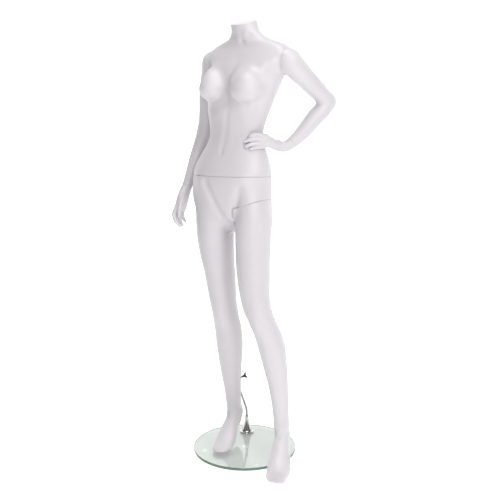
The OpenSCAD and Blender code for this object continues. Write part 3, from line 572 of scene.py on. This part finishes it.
def trunk(f, detail=True):
    b = level(f, TRUNK)
    for at, size, above in BREASTS:
        b.join(ball(f, at, size, above), 28)
    for at, d in ((LEFT_AT, LEFT_DIR), (RIGHT_AT, RIGHT_DIR)):
        b.keep(wedge_value(f, at, d, 12), 18)
    for at, d, T, U, up in ((LEFT_AT, LEFT_DIR, LEFT_SHOULDER, LEFT_UPPER, UP),
                            (RIGHT_AT, RIGHT_DIR, RIGHT_SHOULDER, RIGHT_UPPER, [0, 1, 0])):
        s = along(f, T).join(along(f, U[:4], up), 12)
        b.join(s, 22)
    if not detail:
        return b
    # collar bones, notch between them and the hollows above
    line_on(b, [(30, 1551), (60, 1548), (100, 1542), (132, 1532)], -1.6, 12)
    line_on(b, [(-8, 1551), (-38, 1548), (-76, 1543), (-106, 1533)], -1.6, 12)
    line_on(b, [(45, 1566), (90, 1556)], 3.0, 12)
    line_on(b, [(-25, 1566), (-66, 1556)], 3.0, 12)
    spot_on(b, 11, 1551, (10, 10, 11), 4.0)
    line_on(b, [(-30, 1604), (-6, 1576), (4, 1560)], -2.0, 8)
    line_on(b, [(40, 1604), (26, 1576), (18, 1560)], -2.0, 8)
    # breast bone, midline and navel
    line_on(b, [(2, 1490), (-6, 1460), (-20, 1420), (-28, 1370), (-31, 1335)], 2.4, 17)
    line_on(b, [(-32, 1312), (-42, 1250), (-50, 1200), (-54, 1172)], 2.2, 12)
    line_on(b, [(-74, 1300), (-84, 1240), (-90, 1180)], 1.1, 15)
    line_on(b, [(4, 1300), (-4, 1240), (-12, 1180)], 1.1, 15)
    spot_on(b, -55, 1158, (7, 12, 10), 4.0)
    spot_on(b, -55, 1168, (14, 10, 7), -1.2)
    # lower edge of the ribs
    line_on(b, [(-30, 1318), (20, 1292), (52, 1262)], -1.6, 14)
    line_on(b, [(-38, 1318), (-92, 1292), (-122, 1262)], -1.6, 14)
    # crease under each breast
    line_on(b, [(-16, 1404), (-12, 1376), (-2, 1350), (20, 1335), (46, 1330), (66, 1335)], 5.8, 8)
    line_on(b, [(-50, 1386), (-60, 1364), (-78, 1348), (-100, 1343)], 3.6, 8)
    # armpit folds
    line_on(b, [(118, 1468), (112, 1440), (100, 1418)], 2.4, 11)
    line_on(b, [(-112, 1468), (-122, 1442), (-128, 1420)], 2.0, 11)
    # spine, shoulder blades and the dimples of the lower back
    line_on(b, [(11, 1560), (10, 1500), (0, 1420), (-22, 1340), (-38, 1262), (-45, 1190), (-53, 1110)],
            4.5, 15, False)
    line_on(b, [(-84, 1480), (-74, 1440), (-52, 1392)], -4.5, 20, False)
    line_on(b, [(100, 1478), (92, 1440), (66, 1390)], -4.5, 20, False)
    line_on(b, [(-20, 1476), (-30, 1420), (-40, 1380)], 2.0, 18, False)
    line_on(b, [(44, 1476), (46, 1420), (40, 1380)], 2.0, 18, False)
    return b


def hips(f):
    b = level(f, [r for r in TRUNK if r[2] < 1200])
    b.join(ball(f, (-104, 44, 958), (58, 70, 64)), 24)
    b.join(ball(f, (-6, 42, 960), (58, 70, 64)), 24)
    return b


def hip_marks(b):
    line_on(b, [(-112, 1052), (-92, 1012), (-66, 960), (-40, 912)], 7.5, 13)
    line_on(b, [(-134, 1040), (-116, 1000), (-92, 945), (-70, 900)], -3.0, 26)
    line_on(b, [(30, 1036), (20, 1000), (6, 958), (-8, 918)], 6.5, 13)
    line_on(b, [(62, 1030), (52, 990)], -2.5, 24)
    spot_on(b, -142, 1046, (26, 22, 26), -3.5)
    spot_on(b, 34, 1048, (26, 22, 26), -3.5)
    line_on(b, [(-55, 1150), (-56, 1100)], 1.6, 10)
    line_on(b, [(-56, 1018), (-56, 980), (-56, 930), (-54, 880)], 9.0, 11, False)
    for x in (-86, -24):
        spot_on(b, x, 1078, (12, 12, 12), 2.6, False)


def leg_marks(b, rows):
    """Knee cap, shin and calf; the knee is given as x, front y, back y and height."""
    kx, kf, kb, kz = rows["knee"]
    b.dimple((kx, kf, kz + 10), (22, 16, 26), -3.6)
    b.dimple((kx - 26, kf + 14, kz + 2), (13, 14, 30), 2.4)
    b.dimple((kx + 26, kf + 14, kz + 2), (13, 14, 30), 2.4)
    b.dimple((kx, kf + 4, kz - 40), (12, 12, 14), -2.6)
    b.dimple((kx - 18, kb, kz + 4), (12, 16, 44), -2.0)
    b.dimple((kx + 18, kb, kz + 4), (12, 16, 44), -2.0)
    b.dimple((kx, kb, kz + 2), (14, 14, 30), 2.0)
    b.press(rows["shin"], -1.8, 9)
    b.press(rows["calf"], 2.6, 10)


def toes(b, T):
    """Shallow lines between the toes."""
    P = np.array(T, float)[:, :3]
    e = unit(P[-2] - P[-4])
    side = unit(np.cross(UP, e))
    s = 1 if T is RIGHT_FOOT else -1
    for o, back in ((12, 20), (1, 16), (-9, 14), (-18, 12)):
        tip = P[-1] + e * (4 - abs(o) * 0.12) + side * o * s
        start = P[-1] - e * (back + 8) + side * o * s * 1.12
        top = np.array([0, 0, 11.0])
        middle = (start + tip) / 2
        b.press([start + top * 1.15, middle + top * 0.95, tip + top * 0.2, tip - top * 0.5], 3.2, 3.4)


H_BODY = 2.9
H_ARM = 2.2
H_HAND = 1.4
H_IN, H_IN_ARM = 6.0, 5.0


def upper_shell():
    f = Field((-215, -150, 1058), (215, 150, 1665), H_BODY)
    o = surface("upper_shell", trunk(f))
    c = Field((-200, -140, 1040), (200, 140, 1600), H_IN)
    inner = surface("inner", trunk(c), WALL)
    tools = [inner, block([0, 0, WAIST_Z + SEAM / 2], [0, 0, -1]), block(NECK_AT, NECK_DIR),
             wedge(LEFT_AT, LEFT_DIR), wedge(RIGHT_AT, RIGHT_DIR)]
    cut(o, tools)
    planes = [([0, 0, WAIST_Z + SEAM / 2], UP), (NECK_AT, NECK_DIR),
              (LEFT_AT - LEFT_DIR * SEAM / 2, LEFT_DIR), (RIGHT_AT - RIGHT_DIR * SEAM / 2, RIGHT_DIR)]
    return shade(o, planes)


def lower_shell():
    f = Field((-225, -155, 0), (115, 150, 1110), H_BODY)
    b = hips(f)
    b.join(level(f, RIGHT_LEG), 26)
    stub = level(f, [r for r in LEFT_LEG if r[2] > 820], LEG_TURN)
    stub.keep(-f.side(THIGH_AT, -THIGH_DIR))
    b.join(stub, 16)
    hip_marks(b)
    leg_marks(b, {"knee": (-79, -68, 38, 556),
                  "shin": [(-78, -18, 500), (-76, -16, 380), (-76, 0, 260)],
                  "calf": [(-72, 62, 470), (-72, 68, 420), (-73, 64, 350)]})
    ft = along(f, RIGHT_FOOT)
    toes(ft, RIGHT_FOOT)
    b.join(ft, 26)
    for x in (-106, -44):
        b.dimple((x, 56, 132), (12, 13, 13), -4.0)
    for x in (-100, -52):
        b.press([(x, 84, 200), (x, 92, 160)], 2.5, 10)
    o = surface("lower_shell", b)
    c = Field((-225, -155, 100), (115, 150, 1110), H_IN)
    i = hips(c)
    i.join(level(c, RIGHT_LEG, 0.0, 140), 12)
    i.join(level(c, [r for r in LEFT_LEG if r[2] > 820], LEG_TURN), 12)
    hip_marks(i)
    i.keep(np.minimum(c.all()[0] + CROTCH_X + WALL, c.side(THIGH_AT, THIGH_DIR)))
    inner = surface("inner", i, WALL)
    screw = unit(JOINT["screw_advance"]["axis"])
    tools = [inner, block([0, 0, WAIST_Z - SEAM / 2], UP), thigh_cutter(-SEAM / 2),
             rod_cutter(on_rod(ENTRY_Z), ROD_DIR, SOCKET_R + 0.2, -20, 139),
             rod_cutter(on_rod(SCREW_Z), screw, BOSS_R + 0.1, 0, 60)]
    cut(o, tools)
    return shade(o, [([0, 0, WAIST_Z - SEAM / 2], UP), (THIGH_AT - THIGH_DIR * SEAM / 2, THIGH_DIR)])


def thigh_cutter(start):
    """The left thigh's side of its seam; the crotch stands clear of it."""
    b = block(THIGH_AT, THIGH_DIR, start)
    f = Field((-70, -150, 640), (150, 150, 1080), 4.0)
    column = level(f, [r for r in LEFT_LEG if r[2] > 620], LEG_TURN)
    column.F += np.clip((-f.all()[1] - 10) / 30, 0, 1) * CROTCH_FRONT
    room = surface("room", column, -CROTCH_ROOM)
    return cut(b, [cut(block([-CROTCH_EDGE, 0, 500], [-1, 0, 0], size=1800), [room])])


def left_leg_shell():
    f = Field((-20, -235, 0), (290, 110, 1000), H_BODY)
    b = level(f, LEFT_LEG, LEG_TURN)
    leg_marks(b, {"knee": (112, -121, -14, 560),
                  "shin": [(140, -104, 490), (160, -88, 380), (178, -82, 260)],
                  "calf": [(144, 4, 470), (152, 6, 420), (162, -2, 350)]})
    ft = along(f, LEFT_FOOT)
    toes(ft, LEFT_FOOT)
    b.join(ft, 26)
    for p in ((220, -30, 124), (160, -44, 124)):
        b.dimple(p, (12, 13, 13), -4.0)
    for x in (212, 166):
        b.press([(x, -20, 200), (x, -12, 160)], 2.5, 10)
    near = hips(f)
    near.keep(-f.side((-3.0, 0, 0), (1, 0, 0)))
    swung = Matrix.Rotation(-LEG_TRAVEL, 3, Vector(-THIGH_DIR)) @ Vector((1, 0, 0))
    near.keep(-THIGH_AT[0] - f.side(THIGH_AT, swung))
    b.join(near, 16)
    o = surface("left_leg_shell", b)
    c = Field((-20, -235, 100), (290, 110, 1000), H_IN)
    inner = surface("inner", level(c, LEFT_LEG, LEG_TURN, 140), WALL)
    cut(o, [inner, block(THIGH_AT, -THIGH_DIR, -SEAM / 2)])
    return shade(o, [(THIGH_AT + THIGH_DIR * SEAM / 2, THIGH_DIR)])


def shoulder_skin(f, at, d):
    """The trunk's own skin carried past the shoulder seam, so both sides of it meet."""
    t = trunk(f, False)
    edge, n = armpit(at, d)
    t.keep(f.side(edge - n * SEAM, n))
    t.keep(-f.side(at - np.array(d) * 30, d))
    return t


def arm_shell(name, shoulder, upper, fore, up, at, d, wrist_at, wrist_dir, lo, hi):
    f = Field(lo, hi, H_ARM)
    a = along(f, upper, up)
    a.join(along(f, fore, up), 10)
    a.join(along(f, shoulder), 12)
    a.join(shoulder_skin(f, at, d))
    elbow = np.array(upper[-2][:3], float) + ((4, 22, 6) if name.startswith("left") else (0, 30, 4))
    a.dimple(elbow, (13, 13, 14), -2.5)
    o = surface(name, a)
    c = Field(lo, hi, H_IN_ARM)
    i = along(c, upper, up)
    i.join(along(c, fore, up), 8)
    i.join(along(c, shoulder), 12)
    i.join(shoulder_skin(c, at, d))
    inner = surface("inner", i, WALL)
    cut(o, [inner, block(at, -d, -SEAM / 2), block(wrist_at, wrist_dir, -SEAM / 2)])
    return shade(o, [(at + d * SEAM / 2, d), (wrist_at - wrist_dir * SEAM / 2, wrist_dir)])


def hand_shell(name, palm, fingers, thumb, up, at, d, lo, hi, marks):
    f = Field(lo, hi, H_HAND)
    h = along(f, palm, up)
    tips = None
    for T in fingers:
        g = along(f, T)
        tips = g if tips is None else tips.join(g, 2.0)
    h.join(tips, 7)
    h.join(along(f, thumb), 9)
    for pts, depth, width in marks:
        h.press(pts, depth, width)
    o = surface(name, h)
    peg = rod_cutter(at, d, PEG_HOLE_R, -5, PEG_HOLE_DEPTH)
    cut(o, [block(at, -np.array(d), -SEAM / 2), peg])
    return shade(o, [(np.array(at) + np.array(d) * SEAM / 2, d)])


def knuckle_marks(fingers, out):
    """Low knuckles over the joints and creases on their inner side."""
    marks = []
    for T in fingers:
        S = smooth(T, 6)[:, :3]
        r = T[0][3]
        for k in (0, 6, 11):
            p = S[k] + np.array(out) * r
            marks.append(([p, p + 0.1], -0.96, 6.0))
        for k in (6, 11):
            p = S[k] - np.array(out) * r
            marks.append(([p, p + 0.1], 1.0, 3.5))
    return marks


# ---- Materials ----
def material(name, base, rough, metallic=0.0, spots=6.0, bump=0.0, grain=400.0, spread=0.04, **extra):
    """A principled surface with noise in its colour, roughness and height."""
    m = bpy.data.materials.new(name)
    m.use_nodes = True
    nt = m.node_tree
    p = nt.nodes["Principled BSDF"]
    co = nt.nodes.new("ShaderNodeTexCoord")

    def noise(scale, detail=3.0, stretch=None):
        n = nt.nodes.new("ShaderNodeTexNoise")
        n.inputs["Scale"].default_value = scale
        n.inputs["Detail"].default_value = detail
        if stretch:
            mp = nt.nodes.new("ShaderNodeMapping")
            mp.inputs["Scale"].default_value = stretch
            nt.links.new(co.outputs["Object"], mp.inputs["Vector"])
            nt.links.new(mp.outputs["Vector"], n.inputs["Vector"])
        else:
            nt.links.new(co.outputs["Object"], n.inputs["Vector"])
        return n

    def ramp(src, lo, hi, a, b):
        r = nt.nodes.new("ShaderNodeMapRange")
        for k, v in (("From Min", lo), ("From Max", hi), ("To Min", a), ("To Max", b)):
            r.inputs[k].default_value = v
        nt.links.new(src, r.inputs["Value"])
        return r.outputs["Result"]

    broad = noise(spots)
    mix = nt.nodes.new("ShaderNodeMix")
    mix.data_type = "RGBA"
    mix.inputs[6].default_value = (*[c * (1 - spread) for c in base], 1)
    mix.inputs[7].default_value = (*[min(1, c * (1 + spread)) for c in base], 1)
    nt.links.new(ramp(broad.outputs["Fac"], 0.35, 0.65, 0, 1), mix.inputs[0])
    nt.links.new(mix.outputs[2], p.inputs["Base Color"])
    wear = noise(38.0, 4.0)
    worn = ramp(wear.outputs["Fac"], 0.3, 0.7, max(0.02, rough - 0.05), rough + 0.06)
    nt.links.new(worn, p.inputs["Roughness"])
    p.inputs["Metallic"].default_value = metallic
    if bump:
        fine = noise(grain, 2.0, extra.get("stretch"))
        b = nt.nodes.new("ShaderNodeBump")
        b.inputs["Strength"].default_value = bump
        b.inputs["Distance"].default_value = 0.0004
        nt.links.new(fine.outputs["Fac"], b.inputs["Height"])
        nt.links.new(b.outputs["Normal"], p.inputs["Normal"])
    for k in ("Transmission Weight", "IOR", "Coat Weight", "Coat Roughness"):
        if k in extra:
            p.inputs[k].default_value = extra[k]
    if "glow" in extra:
        p.inputs["Emission Color"].default_value = (1, 1, 1, 1)
        p.inputs["Emission Strength"].default_value = extra["glow"]
    return m


MAT = {
    "shell": material("satin_white", (0.58, 0.556, 0.578), 0.40, spots=4.0, bump=0.10, grain=520,
                      spread=0.012, **{"Coat Weight": 0.12, "Coat Roughness": 0.35}),
    "resin": material("cast_resin", (0.76, 0.73, 0.62), 0.55, spots=30.0, bump=0.25, grain=300),
    "steel": material("zinc_steel", (0.60, 0.61, 0.63), 0.30, 1.0, spots=60.0, bump=0.3, grain=90,
                      stretch=(14.0, 14.0, 1.0)),
    "chrome": material("chrome_plate", (0.52, 0.51, 0.50), 0.10, 1.0, spots=20.0, bump=0.02, grain=200,
                       spread=0.02),
    "glass": material("clear_glass", (0.59, 0.62, 0.592), 0.02, spots=12.0, spread=0.006, bump=0.01, grain=60,
                      **{"Transmission Weight": 1.0, "IOR": 1.45}),
    "glass_edge": material("green_glass_edge", (0.16, 0.27, 0.21), 0.18, spots=40.0, spread=0.08, bump=0.05,
                           grain=200, **{"Transmission Weight": 0.35, "IOR": 1.45}),
    "rubber": material("dark_rubber", (0.035, 0.035, 0.038), 0.7, spots=80.0, bump=0.4, grain=700,
                       spread=0.2),
    "black_steel": material("black_oxide", (0.07, 0.07, 0.072), 0.38, 0.6, spots=90.0, bump=0.3, grain=500,
                            spread=0.25),
    # pale opaque bumpers with a glow: painted light, so they show as the bright floor seen through the glass
    "clear_rubber": material("clear_bumper", (0.90, 0.93, 0.91), 0.25, spots=50.0, bump=0.1, grain=300,
                             glow=0.45),
}
SLOT_OF = {s["node"]: s["material_slot"] for s in frame["record"]["subparts"]}


def dress(o, slot):
    o.data.materials.clear()
    o.data.materials.append(MAT[slot])


for name, o in frame["nodes"].items():
    dress(o, SLOT_OF[name])


def place(o, node, body, slot):
    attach(o, body)
    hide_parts(node)
    dress(o, slot)
    return o


ACROSS = np.array([0.0, 1, 0])
place(upper_shell(), "upper_body", "upper", "shell")
place(lower_shell(), "lower_body", "lower", "shell")
place(left_leg_shell(), "left_leg", "left_leg", "shell")
place(arm_shell("left_arm_shell", LEFT_SHOULDER, LEFT_UPPER, LEFT_FORE, UP, LEFT_AT, LEFT_DIR,
                LEFT_WRIST_AT, LEFT_WRIST_DIR, (95, -70, 1150), (285, 290, 1560)),
      "left_arm", "left_arm", "shell")
place(arm_shell("right_arm_shell", RIGHT_SHOULDER, RIGHT_UPPER, RIGHT_FORE, ACROSS, RIGHT_AT, RIGHT_DIR,
                RIGHT_WRIST_AT, RIGHT_WRIST_DIR, (-290, -70, 980), (-70, 125, 1560)),
      "right_arm", "right_arm", "shell")
place(hand_shell("left_hand_shell", LEFT_PALM, LEFT_FINGERS, LEFT_THUMB, UP, LEFT_WRIST_AT,
                 LEFT_WRIST_DIR, (5, -90, 1150), (190, 135, 1250),
                 knuckle_marks(LEFT_FINGERS, (0.75, -0.65, 0))),
      "left_hand", "left_arm", "shell")
place(hand_shell("right_hand_shell", RIGHT_PALM, RIGHT_FINGERS, RIGHT_THUMB, ACROSS, RIGHT_WRIST_AT,
                 RIGHT_WRIST_DIR, (-295, -105, 860), (-215, 35, 1060),
                 knuckle_marks(RIGHT_FINGERS, (-1, 0, 0))),
      "right_hand", "right_hand", "shell")


# ---- Calf rod with a smooth bend ----
def swept_rod(name, path, r, n=40):
    P = np.array(path, float)
    bm = bmesh.new()
    rings, u = [], None
    for i, p in enumerate(P):
        d = unit(P[min(i + 1, len(P) - 1)] - P[max(i - 1, 0)])
        u = unit(np.array([1.0, 0, 0]) - d * d[0]) if u is None else unit(u - d * (u @ d))
        w = np.cross(d, u)
        rings.append([bm.verts.new(tuple((p + (u * math.cos(t) + w * math.sin(t)) * r) * MM))
                      for t in np.arange(n) * 2 * math.pi / n])
    for A, B in zip(rings[:-1], rings[1:]):
        for j in range(n):
            bm.faces.new((A[j], A[(j + 1) % n], B[(j + 1) % n], B[j]))
    bm.faces.new(rings[0][::-1])
    bm.faces.new(rings[-1])
    bmesh.ops.recalc_face_normals(bm, faces=bm.faces)
    me = bpy.data.meshes.new(name)
    bm.to_mesh(me)
    bm.free()
    return show(name, me)


def rod():
    low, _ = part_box("calf_rod")
    foot_end = np.array([BEND[0], BEND[1], low.z / MM])
    b0, b1 = BEND - UP * 16, BEND + ROD_DIR * 16
    path = [foot_end, foot_end + UP * 30]
    path += [b0 * (1 - t) ** 2 + BEND * 2 * t * (1 - t) + b1 * t * t for t in np.linspace(0, 1, 17)]
    path += [on_rod(ENTRY_Z) + ROD_DIR * (ROD_DEPTH - 1)]
    o = swept_rod("calf_rod_bar", path, ROD_R)
    cut(o, [rod_cutter(foot_end, UP, BOLT_R - 0.05, -2, 23)])
    o.data.polygons.foreach_set("use_smooth", np.ones(len(o.data.polygons), bool))
    o.data.set_sharp_from_angle(angle=math.radians(35))
    return o


place(rod(), "calf_rod", "stand", "chrome")


def flange():
    """A spun cone with a flat rim; the rod, its bolt and the grub screw pass through it."""
    low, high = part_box("base_flange")
    at = np.array([(low.x + high.x) / 2, (low.y + high.y) / 2, low.z]) / MM
    r, h = (high.x - low.x) / 2 / MM, (high.z - low.z) / MM
    bolt, bar = BOLT_R, ROD_R + 0.25
    cone = [(r - 6.5, 6.2), (r - 8.2, 8.0)]
    cone += [(7.2 + (r - 16.0) * (1 - t) ** 1.35, 9.0 + (h - 10.0) * t) for t in np.linspace(0, 1, 15)]
    ring = [(bolt, 0), (r - 1, 0), (r - 0.3, 0.3), (r, 1), (r, 3), (r - 0.5, 4.0), (r - 2, 5)]
    ring += cone + [(6.4, h), (bar, h), (bar, 2), (bolt, 2), (bolt, 0)]
    o = lathe("flange_cone", ring, at, UP, 72)
    cut(o, [rod_cutter(at + UP * 12, [0, 1, 0], 2.7, 0, 60, 32)])
    o.data.polygons.foreach_set("use_smooth", np.ones(len(o.data.polygons), bool))
    o.data.set_sharp_from_angle(angle=math.radians(35))
    return o


place(flange(), "base_flange", "stand", "chrome")


# ---- Glass base with a polished, arrised edge ----
def glass_disc():
    low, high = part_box("glass_base")
    at = np.array([(low.x + high.x) / 2, (low.y + high.y) / 2, low.z]) / MM
    r, h, e = (high.x - low.x) / 2 / MM, (high.z - low.z) / MM, 1.0
    o = lathe("glass_disc", [(0, 0), (r - e, 0), (r - 0.3, 0.3), (r, e), (r, h - e), (r - 0.3, h - 0.3),
                             (r - e, h), (0, h)], at, UP, 160)
    s0, s1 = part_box("glass_sleeve")
    hole = np.array([(s0.x + s1.x) / 2, (s0.y + s1.y) / 2, low.z]) / MM
    cut(o, [rod_cutter(hole, UP, (s1.x - s0.x) / 2 / MM + 0.1, -5, h + 5)])
    return o


def edge_only(o, slot):
    """A second material on the faces of the rim."""
    o.data.materials.append(MAT[slot])
    low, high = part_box("glass_base")
    r = (high.x - low.x) / 2
    for p in o.data.polygons:
        if math.hypot(p.center.x - (low.x + high.x) / 2, p.center.y - (low.y + high.y) / 2) > r - 2 * MM:
            p.material_index = 1
    o.data.set_sharp_from_angle(angle=math.radians(20))


edge_only(place(glass_disc(), "glass_base", "stand", "glass"), "glass_edge")


# ---- Floor, light and camera ----
def sheet(name, corners):
    bm = bmesh.new()
    bm.faces.new([bm.verts.new(c) for c in corners])
    me = bpy.data.meshes.new(name)
    bm.to_mesh(me)
    bm.free()
    return show(name, me)


R_FLOOR = 30.0
floor = sheet("floor", [(x * R_FLOOR, y * R_FLOOR, 0) for x, y in ((-1, -1), (1, -1), (1, 1), (-1, 1))])
floor.data.materials.append(material("pale_floor", (0.93, 0.93, 0.935), 0.6, spots=2.0, bump=0.05, grain=200,
                                     spread=0.01, glow=0.60))
backdrop = sheet("backdrop", [(-14, 0, -0.5), (14, 0, -0.5), (14, 0, 12), (-14, 0, 12)])
backdrop.data.transform(Matrix.Rotation(math.radians(30), 4, "Z"))
backdrop.data.transform(Matrix.Translation((-2.6, 4.5, 0)))
backdrop.data.materials.append(material("white_paper", (0.9, 0.9, 0.9), 0.8, spots=1.0, bump=0.05, grain=200,
                                        spread=0.01, glow=1.0))
for k, (x, y, w) in enumerate([(-3.4, -2.0, 2.6), (3.6, -3.2, 1.2)]):
    card = sheet(f"dark_card_{k}", [(-w / 2, 0, 0.02), (w / 2, 0, 0.02), (w / 2, 0, 2.6), (-w / 2, 0, 2.6)])
    card.data.transform(Matrix.Rotation(math.atan2(y, x) + math.pi / 2, 4, "Z"))
    card.data.transform(Matrix.Translation((x, y, 0)))
    card.data.materials.append(material(f"dark_cloth_{k}", (0.03, 0.03, 0.03), 0.9, spots=3.0, bump=0.2,
                                        grain=300))

scene = bpy.context.scene
world = bpy.data.worlds.new("studio")
scene.world = world
world.use_nodes = True
world.node_tree.nodes["Background"].inputs["Color"].default_value = (1.0, 1.0, 1.0, 1)
world.node_tree.nodes["Background"].inputs["Strength"].default_value = 0.22
scene.view_settings.view_transform = "Standard"


def lamp(name, at, aim, size, watts, spread=180):
    d = bpy.data.lights.new(name, "AREA")
    d.size, d.energy, d.spread = size, watts, math.radians(spread)
    o = bpy.data.objects.new(name, d)
    scene.collection.objects.link(o)
    o.location = at
    o.rotation_euler = (Vector(aim) - Vector(at)).to_track_quat("-Z", "Y").to_euler()


lamp("key", (2.8, -1.5, 2.7), (0, 0, 1.0), 1.1, 42)
lamp("fill", (-1.6, -2.6, 1.6), (0, 0, 0.9), 2.0, 1)
lamp("low", (1.5, -2.3, 1.7), (0.12, -0.1, 0.02), 0.7, 15)
lamp("top", (0.6, -0.7, 3.5), (0, 0, 0.6), 1.4, 34)
lamp("feet", (0.5, -1.2, 2.9), (0.08, -0.12, 0.0), 0.3, 0.2, 13)

cam_data = bpy.data.cameras.new("view")
cam_data.lens = 52.66
cam_data.sensor_width = 36.0
cam_data.clip_end = 100
cam = bpy.data.objects.new("view", cam_data)
scene.collection.objects.link(cam)
cam.location = (1.3752, -2.3399, 1.2632)
cam.rotation_euler = (math.radians(80.2), 0, math.radians(30))
scene.camera = cam

bpy.context.view_layer.update()
